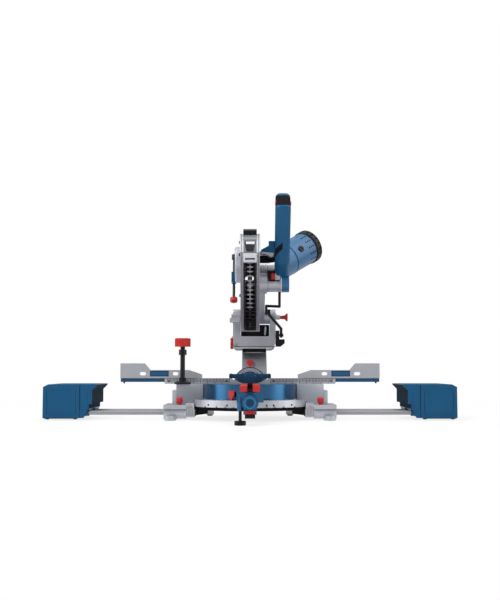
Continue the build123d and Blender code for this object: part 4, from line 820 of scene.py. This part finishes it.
class SAW_OT_guard(bpy.types.Operator):
    """Front frame and ribbed plate in painted shade, window, a lip, rim beads and rails in painted
    highlight, and seams of the fixed guard.
    """
    bl_idname = "saw.guard"
    bl_label = "Guard trim"

    def execute(self, context):
        rim, wide, in_brow = GUARD_R, 0.0182, 0.1357
        # The front frame is in the darkened casting colour: painted shade.
        band("guard_frame", "shaded_alloy", "cast_silver", 0.0005,
             (127.4, 148.8, rim - 0.001, rim + 0.0008, -0.0178, 0.0178))
        for k, (low, high, half) in enumerate(((129.5, 137.0, 0.0145), (137.0, 141.5, 0.0130),
                                               (141.5, 145.5, 0.0115), (145.5, 147.4, 0.0095))):
            band("guard_window_%d" % (k + 1), "black_plastic", "black_plastic", 0.0,
                 (low, high, rim, rim + 0.0013, -half, half, 4))
        # The window's lip is in the lightened casting colour: painted highlight.
        band("guard_window_lip", "bright_alloy", "cast_silver", 0.0008,
             (131.8, 136.4, rim, rim + 0.0034, -0.0115, 0.0130))
        band("guard_brow", "cast_alloy", "cast_silver", 0.0004,
             *((low, high, in_brow, rim - 0.0005, left, right) for low, high, left, right in (
                 (148.4, 155.7, -wide, wide), (157.9, 161.2, -wide, wide),
                 (155.5, 158.1, -wide, -0.0135), (155.5, 158.1, 0.0135, wide))))
        # The ribbed plate is in the darkened casting colour: painted shade.
        band("guard_plate", "shaded_alloy", "cast_silver", 0.0004,
             (111.5, 127.4, rim - 0.001, rim + 0.0006, -0.0190, 0.0190))
        rib = template("rib", lambda bm: rim_band(bm, 112.3, 126.6, rim, rim + 0.0020, -0.0006, 0.0006))
        grown("guard_front_ribs", "seat", {"Piece": rib, "Material": FINISH["cast_alloy"]}, "head",
              "cast_silver", [((-0.0168 + 0.0028 * k, 0, 0), (0, 0, 1), 1.0) for k in range(13)])
        bpy.data.objects.remove(rib)
        for side, word in SIDES:
            edge, seam = side * 0.0268, side * 0.0238
            # The rim beads are in the lightened casting colour: painted highlight on the guard's edges.
            bar("guard_rim_bead_" + word, [(edge, y, z) for y, z in head_fan(-70, 147, rim + 0.0002, 60)],
                0.0013, "bright_alloy", "head", "cast_silver")
            band("guard_seam_" + word, "ink", "black_plastic", 0.0,
                 (88, 147.5, rim - 0.0005, rim + 0.0003, seam - 0.0005, seam + 0.0005, 24))
            near, far = sorted((side * wide, side * 0.0262))
            # The front rails are in the lightened casting colour: painted highlight beside the dark front.
            piece("guard_rail_" + word, lambda bm: cut_prism(
                bm, [(-298.5, -129.7), (-36.5, -129.7), (-38.5, -125.0), (-296.5, -125.0)], near, far),
                "bright_alloy", "head", "cast_silver", 0.0008)
            piece("guard_rail_seam_" + word, lambda bm: cut_prism(
                bm, [(-298.0, -130.1), (-37.0, -130.1), (-37.0, -129.0), (-298.0, -129.0)],
                side * 0.0226 - 0.0005, side * 0.0226 + 0.0005), "ink", "head", "black_plastic")
        return {"FINISHED"}


class SAW_OT_boot(bpy.types.Operator):
    """Folded rubber boot, its hose and the clip above it."""
    bl_idname = "saw.boot"
    bl_label = "Boot"

    def execute(self, context):
        folds = context.scene.saw_trim.bellows_folds
        low, high = 0.0275, 0.0560
        profile = [(0.001, low)]
        for i in range(folds * 2 + 1):
            reach = 0.0118 if i % 2 else 0.0104
            profile.append((reach, low + (high - low) * i / (folds * 2)))
        profile.append((0.001, high))
        lathe("cable_boot", profile, (0, 0.040, 0.4500), (1, 0, 0), 28, "rubber", "head",
              "black_plastic", 60)
        path = [Vector(p) for p in ((0.052, 0.042, 0.4500), (0.066, 0.030, 0.4500),
                                    (0.073, 0.004, 0.4530), (0.079, -0.018, 0.4620),
                                    (0.083, -0.026, 0.4760))]
        smooth_path = []
        for k in range(len(path) - 1):
            before, a, b, after = path[max(0, k - 1)], path[k], path[k + 1], path[min(len(path) - 1, k + 2)]
            for i in range(6):
                t = i / 6
                smooth_path.append(0.5 * (2 * a + (b - before) * t + (2 * before - 5 * a + 4 * b - after)
                                          * t * t + (3 * a - before - 3 * b + after) * t ** 3))
        bar("cable_hose", smooth_path + [path[-1]], 0.0098, "rubber", "head", "black_plastic", 18)
        arm = [(0.0278, 0.4600), (0.0278, 0.4730), (0.040, 0.4715), (0.052, 0.4670), (0.062, 0.4600),
               (0.070, 0.4560), (0.060, 0.4570), (0.048, 0.4600)]
        piece("boot_clip", lambda bm: prism(bm, arm, 0.030, 0.058, axis=1), "bright_alloy", "head",
              "cast_silver", 0.0012)
        return {"FINISHED"}


class SAW_OT_case(bpy.types.Operator):
    """Ribs and a flange of the gear case in painted highlight, its seam, and the bezel round the spindle
    lock.
    """
    bl_idname = "saw.case"
    bl_label = "Gear case trim"

    def execute(self, context):
        inner = case_outline(-0.0012)
        # The ribs and the flange are in the lightened casting colour: painted highlight on the gear case's
        # ridges.
        for name, low, high, grow, finish, slot in (
                ("case_rib_1", 0.0272, 0.0300, 0.0022, "bright_alloy", "cast_silver"),
                ("case_rib_2", 0.0345, 0.0362, 0.0013, "bright_alloy", "cast_silver"),
                ("case_rib_3", 0.0392, 0.0409, 0.0013, "bright_alloy", "cast_silver"),
                ("case_rib_4", 0.0440, 0.0475, 0.0020, "bright_alloy", "cast_silver"),
                ("case_seam", 0.0500, 0.0508, 0.0002, "ink", "black_plastic"),
                ("case_flange", 0.0868, 0.0898, 0.0030, "bright_alloy", "cast_silver")):
            outer = case_outline(grow)
            piece(name, lambda bm: ring_prism(bm, outer, inner, low, high), finish, "head", slot,
                  0.0 if slot == "black_plastic" else 0.0005, smooth=40)
        x, z = 0.0645, 0.398
        for name, low, high in (
                ("lock_bezel_left", (x - 0.0130, 0.0065, z - 0.0125), (x - 0.0060, 0.034, z + 0.0135)),
                ("lock_bezel_right", (x + 0.0060, 0.0085, z - 0.0125), (x + 0.0205, 0.034, z + 0.0135)),
                ("lock_bezel_top", (x - 0.0130, 0.0065, z + 0.0098), (x + 0.0205, 0.034, z + 0.0150)),
                ("lock_bezel_bottom", (x - 0.0130, 0.0085, z - 0.0140), (x + 0.0205, 0.034, z - 0.0098))):
            block(name, low, high, "cast_alloy" if "right" in name else "black_plastic", "head",
                  "black_plastic", 0.0008)
        block("case_shelf", (0.0505, 0.012, 0.4128), (0.0865, 0.040, 0.4150), "black_plastic", "head",
              "black_plastic", 0.0006)
        return {"FINISHED"}


class SAW_OT_motor(bpy.types.Operator):
    """Seams, cooling slots and brush caps of the motor."""
    bl_idname = "saw.motor"
    bl_label = "Motor trim"

    def execute(self, context):
        way = MOTOR_WAY
        side = way.cross(Vector((0, 1, 0))).normalized()
        across_way = way.cross(side).normalized()
        inside, rows, around = MOTOR_R - 0.001, 3, 16
        for name, at, height, finish in (("motor_seam_front", 0.118, 0.0006, "blue_plastic"),
                                         ("motor_seam_mid", 0.1205, 0.0003, "ink"),
                                         ("motor_seam_rear", 0.2070, 0.0008, "black_plastic")):
            lathe(name, [(inside, 0), (MOTOR_R + height, 0.0002), (MOTOR_R + height, 0.0018),
                         (inside, 0.0020)], MOTOR_ROOT + way * at, way, 64, finish, "head",
                  "black_plastic")
        slots = []
        for row in range(rows):
            for k in range(around):
                turn = tau * (k + 0.5) / around
                out = side * cos(turn) + across_way * sin(turn)
                slots.append((tuple(MOTOR_ROOT + way * (0.182 + row * 0.009) + out * MOTOR_R), tuple(out),
                              1.0))
        plate = template("slot_plate", lambda bm: ring_profile(
            bm, [(0.0028, -0.001), (0.0028, 0.0003), (0.0001, 0.0004), (0.0001, -0.001)],
            (0, 0, 0), (0, 0, 1), 12))
        grown("motor_vents", "seat", {"Piece": plate, "Material": FINISH["ink"]}, "head",
              "black_plastic", slots)
        bpy.data.objects.remove(plate)
        for name, sign in (("brush_cap_front", -1), ("brush_cap_rear", 1)):
            out = across_way * sign
            lathe(name, [(0.0001, 0), (0.0095, 0), (0.0095, 0.0048), (0.0085, 0.0058), (0.0052, 0.0058),
                         (0.0052, 0.0046), (0.0001, 0.0046)],
                  MOTOR_ROOT + way * 0.150 + out * (MOTOR_R - 0.003), out, 28, "black_plastic", "head",
                  "black_plastic")
        return {"FINISHED"}


class SAW_OT_yoke(bpy.types.Operator):
    """A dark block and a leaf spring between the yoke's ears, its seam, a dark strip of painted shadow under
    it, the wing caps, and arcs of painted highlight and painted shade round the bevel hub."""
    bl_idname = "saw.yoke"
    bl_label = "Yoke trim"

    def execute(self, context):
        # A dark rubber block that fills the opening between the yoke's ears.
        block("yoke_buffer", (-0.0275, 0.205, 0.2352), (0.0585, 0.243, 0.2710), "rubber", "carriage",
              "rubber_feet", 0.003, 3)
        piece("yoke_blade_spring", lambda bm: prism(
            bm, [(0.0425, 0.2390), (0.0480, 0.2390), (0.0500, 0.2600), (0.0470, 0.2700), (0.0440, 0.2600)],
            0.2025, 0.2052, axis=1), "bright_alloy", "carriage", "steel_bright", 0.0006)
        seam = ((-0.0530, 0.2360), (-0.0530, 0.2130), (-0.0510, 0.2070), (-0.0455, 0.2045), (0.0755, 0.2045),
                (0.0810, 0.2070), (0.0830, 0.2130), (0.0830, 0.2360))
        bar("yoke_seam", [(x, 0.1779, z) for x, z in seam], 0.0008, "ink", "carriage", "rubber_feet")
        # A thin dark strip under the yoke, in front of the column: painted shadow where the yoke's underside
        # is in shade.
        block("yoke_seal", (-0.0225, 0.200, 0.1885), (0.0485, 0.2455, 0.1990), "rubber", "carriage",
              "rubber_feet", 0.002)
        for side, word in SIDES:
            lathe("wing_cap_" + word, [(0.0001, 0), (0.0066, 0), (0.0076, 0.0015), (0.0076, 0.0070),
                                       (0.0058, 0.0100), (0.0001, 0.0108)],
                  (side * 0.0515, 0.156, 0.116), (side, 0, 0), 28, "black_plastic", "table",
                  "black_plastic", 50)
        # On the bevel hub's dome, the dark line is painted shade, and the lighter blue arc and the light
        # alloy crescent are painted highlight.
        for name, y, centre, reach, half, thick, finish, body, slot in (
                ("bevel_arc", 0.1660, 0.0939, 0.0479, 54, 0.0009, "ink", "bevel_arm", "black_plastic"),
                ("hub_line", 0.1398, 0.1050, 0.0243, 75, 0.0008, "ink", "table", "black_plastic"),
                ("hub_arc", 0.1398, 0.1050, 0.0205, 60, 0.0009, "highlight_blue", "table", "blue_plastic"),
                ("hub_edge", 0.1458, 0.1035, 0.0278, 46, 0.0011, "bright_alloy", "table", "cast_silver")):
            points = [(reach * sin(radians(a)), y, centre + reach * cos(radians(a)))
                      for a in range(-half, half + 1, 3)]
            bar(name, points, thick, finish, body, slot)
        return {"FINISHED"}


class SAW_OT_screws(bpy.types.Operator):
    """Every screw head that shows, one object for each body and kind."""
    bl_idname = "saw.screws"
    bl_label = "Screws"

    def execute(self, context):
        cap, pan = template("cap", cap_screw), template("pan", pan_screw)
        for name, body, kind, finish, seats in screw_seats():
            grown(name, "seat", {"Piece": {"cap": cap, "pan": pan}[kind], "Material": FINISH[finish]},
                  body, "steel_plain", seats, smooth=35)
        bpy.data.objects.remove(cap)
        bpy.data.objects.remove(pan)
        return {"FINISHED"}


def screw_seats():
    """(name, body, kind, finish, [(place, direction, head radius)]) of every visible screw."""
    front = (0, -1, 0)
    rim = [((SKIRT_SCREW_R * sin(radians(a)), -SKIRT_SCREW_R * cos(radians(a)), 0.0425),
            (sin(radians(a)), -cos(radians(a)), 0), 0.0026) for a in (-41, -21, 15, 21.5, 41)]
    guard_left = -0.0272
    plate = [((guard_left, BLADE[1] + r * MM * cos(radians(a)), BLADE[2] + r * MM * sin(radians(a))),
              (-1, 0, 0), 0.0042) for r, a in ((118, 105), (118, 60), (122, 20), (60, 330), (112, 140))]
    case = [((x, BLADE[1] + CASE_NEAR_R * cos(radians(a)), BLADE[2] + CASE_NEAR_R * sin(radians(a))),
             (0, cos(radians(a)), sin(radians(a))), 0.0032)
            for x, a in ((0.0425, 186), (0.0825, 192), (0.0825, 238))]
    yoke = [((x, 0.178, z), front, 0.0036) for x, z in ((-0.042, 0.210), (0.068, 0.210))]
    collar = [((side * 0.161, -0.092, 0.0385), front, 0.0034) for side in (-1, 1)]
    fence = [((side * x, 0.0, 0.1035), front, 0.0026) for side in (-1, 1) for x in (0.066, 0.226)]
    return [("skirt_screws", "base", "pan", "black_steel", rim),
            ("guard_screws", "head", "cap", "black_steel", plate),
            ("case_screws", "head", "cap", "plain_steel", case),
            ("yoke_screws", "carriage", "cap", "plain_steel", yoke),
            ("collar_screws", "base", "cap", "plain_steel", collar),
            ("fence_screws", "base", "pan", "black_steel", fence)]


def outline_frame(bm, low, high, width, near, far):
    """A rectangular frame in the XZ plane, width wide, between two depths."""
    (x1, z1), (x2, z2) = low, high
    ring_prism(bm, [(x1, z1), (x2, z1), (x2, z2), (x1, z2)],
               [(x1 + width, z1 + width), (x2 - width, z1 + width), (x2 - width, z2 - width),
                (x1 + width, z2 - width)], near, far, axis=1)


class SAW_OT_fence(bpy.types.Operator):
    """Frames of the bare panels in the sliding fences, and the line where they meet the low fence."""
    bl_idname = "saw.fence"
    bl_label = "Fence panels"

    def execute(self, context):
        for side, word in SIDES:
            low, high = sorted((side * 0.2270, side * 0.2790))
            piece("fence_panel_frame_" + word, lambda bm: outline_frame(
                bm, (low, 0.1165), (high, 0.1325), 0.0016, -0.0004, 0.0020), "ink",
                "fence_" + word, "blue_plastic", 0.0003)
            peg = side * 0.3515
            bar("fence_peg_" + word, [(peg, 0.0060, 0.0972), (peg, 0.0060, 0.1020)], 0.0024,
                "black_plastic", "fence_" + word, "black_plastic", 12)
            near, far = sorted((side * 0.0560, side * 0.2375))
            block("fence_line_" + word, (near, -0.0003, 0.1106), (far, 0.0010, 0.1114), "ink", "base",
                  "black_plastic")
        return {"FINISHED"}


class SAW_OT_supports(bpy.types.Operator):
    """Dark seam lines, with painted shade and painted highlight lines along the edges, and end panels on the
    pull-out supports; and the ribs of the base's collars, in painted shade.
    """
    bl_idname = "saw.supports"
    bl_label = "Support trim"

    def execute(self, context):
        # Lines on the support's face: the ink ones are dark seams and painted shade along the edges, and the
        # lighter blue ones are painted highlight.
        lines = ((0.4590, 0.0050, 0.4590, 0.0930, "ink"), (0.4625, 0.0050, 0.4625, 0.0930, "highlight_blue"),
                 (0.4680, 0.0080, 0.4680, 0.0840, "ink"), (0.4700, 0.0840, 0.5460, 0.0840, "highlight_blue"),
                 (0.4700, 0.0880, 0.5500, 0.0880, "ink"), (0.5475, 0.0080, 0.5475, 0.0820, "ink"),
                 (0.4640, 0.0052, 0.5540, 0.0052, "ink"))
        for side, word in SIDES:
            for k, (x1, z1, x2, z2, finish) in enumerate(lines):
                bar("support_line_%s_%d" % (word, k + 1),
                    [(side * x1, SUPPORT_FACE, z1), (side * x2, SUPPORT_FACE, z2)], 0.0010, finish,
                    "support_" + word, "blue_plastic")
            low, high = sorted((side * 0.4370, side * 0.4560))
            piece("support_panel_" + word, lambda bm: outline_frame(
                bm, (low, 0.0300), (high, 0.0870), 0.0012, -0.0886, -0.0870), "blue_plastic",
                "support_" + word, "blue_plastic", 0.0004)
            # The collar ribs are in the darkened casting colour: painted shade, as dark lines on the base's
            # fins.
            ticks("collar_ribs_" + word, "row", "base", "cast_silver", "shaded_alloy", Count=5,
                  Start=(side * 0.1535, -0.0922, 0.0235), Step=(side * 0.0040, 0, 0),
                  Size=(0.0011, 0.0008, 0.0230), Up=(0, 0, 0))
        return {"FINISHED"}


class SAW_OT_stage(bpy.types.Operator):
    """Floor, lamps, world and camera."""
    bl_idname = "saw.stage"
    bl_label = "Stage"

    def execute(self, context):
        stage = context.scene.saw_stage
        scene = context.scene
        scene.view_settings.view_transform = "Standard"
        floor = mesh_object("floor", lambda bm: slab(bm, (-6, -6, -0.01), (6, 8, 0.0)), "white_ink")
        floor.data.materials.clear()
        floor.data.materials.append(floor_white())
        scene.world = studio(stage)
        lamps = (("key", (-1.6, -2.0, 2.4), 1.2, 1.9), ("fill", (1.8, -1.8, 1.6), 1.4, 0.45),
                 ("top", (0.0, 0.2, 2.8), 1.6, 1.2), ("back", (0.6, 2.4, 2.0), 1.6, 0.6))
        for name, place, size, share_of in lamps:
            data = bpy.data.lights.new("lamp_" + name, "AREA")
            data.shape = "SQUARE"
            data.size = size
            data.energy = stage.lamp * share_of
            lamp = bpy.data.objects.new("lamp_" + name, data)
            lamp.location = place
            lamp.visible_glossy = False
            lamp.rotation_euler = (Vector((0, 0, 0.25)) - Vector(place)).to_track_quat("-Z", "Y").to_euler()
            scene.collection.objects.link(lamp)
        data = bpy.data.cameras.new("camera")
        data.sensor_fit = "HORIZONTAL"
        data.sensor_width = 36.0
        data.lens = data.sensor_width * stage.distance / stage.span
        camera = bpy.data.objects.new("camera", data)
        camera.location = (0.0, -stage.distance, stage.height)
        camera.rotation_euler = (pi / 2 + stage.pitch, 0, 0)
        scene.collection.objects.link(camera)
        scene.camera = camera
        return {"FINISHED"}


def floor_white():
    """The floor's finish: it meets the white background, and keeps the saw's shadow."""
    material, add, link, shader = new_material("floor_white")
    shader.inputs["Base Color"].default_value = (0.9, 0.9, 0.9, 1)
    shader.inputs["Roughness"].default_value = 0.9
    math = calculator(material.node_tree)
    path, far, fade = add("LightPath"), add("VectorMath", operation="LENGTH"), add("MapRange")
    seen = math("MAXIMUM", path.outputs["Is Camera Ray"], path.outputs["Is Glossy Ray"])
    link(add("TexCoord").outputs["Object"], far.inputs[0])
    set_range(fade, 0.75, 2.0, 0.78, 1.0)
    link(far.outputs["Value"], fade.inputs["Value"])
    emit, mix = add("Emission", color=(1, 1, 1, 1), strength=1.0), add("MixShader")
    feed(material.node_tree.links, mix, (math("MULTIPLY", seen, fade.outputs["Result"]),
                                         shader.outputs[0], emit.outputs[0]))
    link(mix.outputs[0], material.node_tree.nodes["Material Output"].inputs["Surface"])
    return material


def studio(stage):
    """A white background. Polished parts reflect two tall soft boxes, a bright ceiling and a dim room."""
    world = bpy.data.worlds.new("studio")
    world.use_nodes = True
    nodes, links = world.node_tree.nodes, world.node_tree.links
    back = nodes["Background"]
    back.inputs["Color"].default_value = (1, 1, 1, 1)
    ray, parts = nodes.new("ShaderNodeLightPath"), nodes.new("ShaderNodeSeparateXYZ")
    links.new(nodes.new("ShaderNodeTexCoord").outputs["Generated"], parts.inputs[0])
    x, y, z = parts.outputs
    math = calculator(world.node_tree)

    def ramp(value, *numbers):
        node = nodes.new("ShaderNodeMapRange")
        node.interpolation_type = "SMOOTHSTEP"
        set_range(node, *numbers)
        links.new(value, node.inputs["Value"])
        return node.outputs["Result"]

    seen = math("MAXIMUM", ray.outputs["Is Camera Ray"], ray.outputs["Is Transmission Ray"])
    turn = math("ABSOLUTE", math("ARCTAN2", x, math("MULTIPLY", y, -1.0)))
    box = ramp(math("ABSOLUTE", math("SUBTRACT", turn, radians(stage.box_angle))), 0.05, 0.50, 1.0, 0.0)
    box = math("MULTIPLY", box, ramp(z, -0.25, 0.05, 0.0, 1.0))
    ceiling = ramp(z, 0.30, 0.80, 0.0, 1.0)
    room = math("ADD", math("MULTIPLY", box, stage.box_level),
                math("ADD", math("MULTIPLY", ceiling, 0.9), stage.room_level))
    glossy = math("MULTIPLY", ray.outputs["Is Glossy Ray"], math("SUBTRACT", room, stage.world_level))
    plain = math("ADD", stage.world_level, glossy)
    rest = math("MULTIPLY", plain, math("SUBTRACT", 1.0, seen))
    links.new(math("ADD", rest, seen), back.inputs["Strength"])
    return world


class SAW_PT_panel(bpy.types.Panel):
    """The steps of the saw's dress, in order."""
    bl_idname = "SAW_PT_panel"
    bl_label = "Mitre saw"
    bl_space_type = "VIEW_3D"
    bl_region_type = "UI"
    bl_category = "Saw"

    def draw(self, context):
        for step in STEPS:
            self.layout.operator("saw." + step)
        for group in (context.scene.saw_finish, context.scene.saw_trim, context.scene.saw_stage):
            box = self.layout.box()
            for key in group.bl_rna.properties.keys():
                if key not in ("rna_type", "name"):
                    box.prop(group, key)


STEPS = ("finishes", "scales", "blade", "guard", "boot", "case", "motor", "yoke", "screws", "fence",
         "supports", "stage")
GROUPS = (("saw_finish", SawFinish), ("saw_trim", SawTrim), ("saw_stage", SawStage))
CLASSES = (SawFinish, SawTrim, SawStage, SAW_OT_finishes, SAW_OT_scales, SAW_OT_blade, SAW_OT_guard,
           SAW_OT_boot, SAW_OT_case, SAW_OT_motor, SAW_OT_yoke, SAW_OT_screws, SAW_OT_fence,
           SAW_OT_supports, SAW_OT_stage, SAW_PT_panel)


def register():
    for item in CLASSES:
        bpy.utils.register_class(item)
    for name, group in GROUPS:
        setattr(bpy.types.Scene, name, bpy.props.PointerProperty(type=group))


def unregister():
    for name, _ in GROUPS:
        delattr(bpy.types.Scene, name)
    for item in reversed(CLASSES):
        bpy.utils.unregister_class(item)


def main():
    register()
    for step in STEPS:
        if getattr(bpy.ops.saw, step)() != {"FINISHED"}:
            raise RuntimeError("the step did not finish: " + step)


if __name__ == "__main__":
    main()
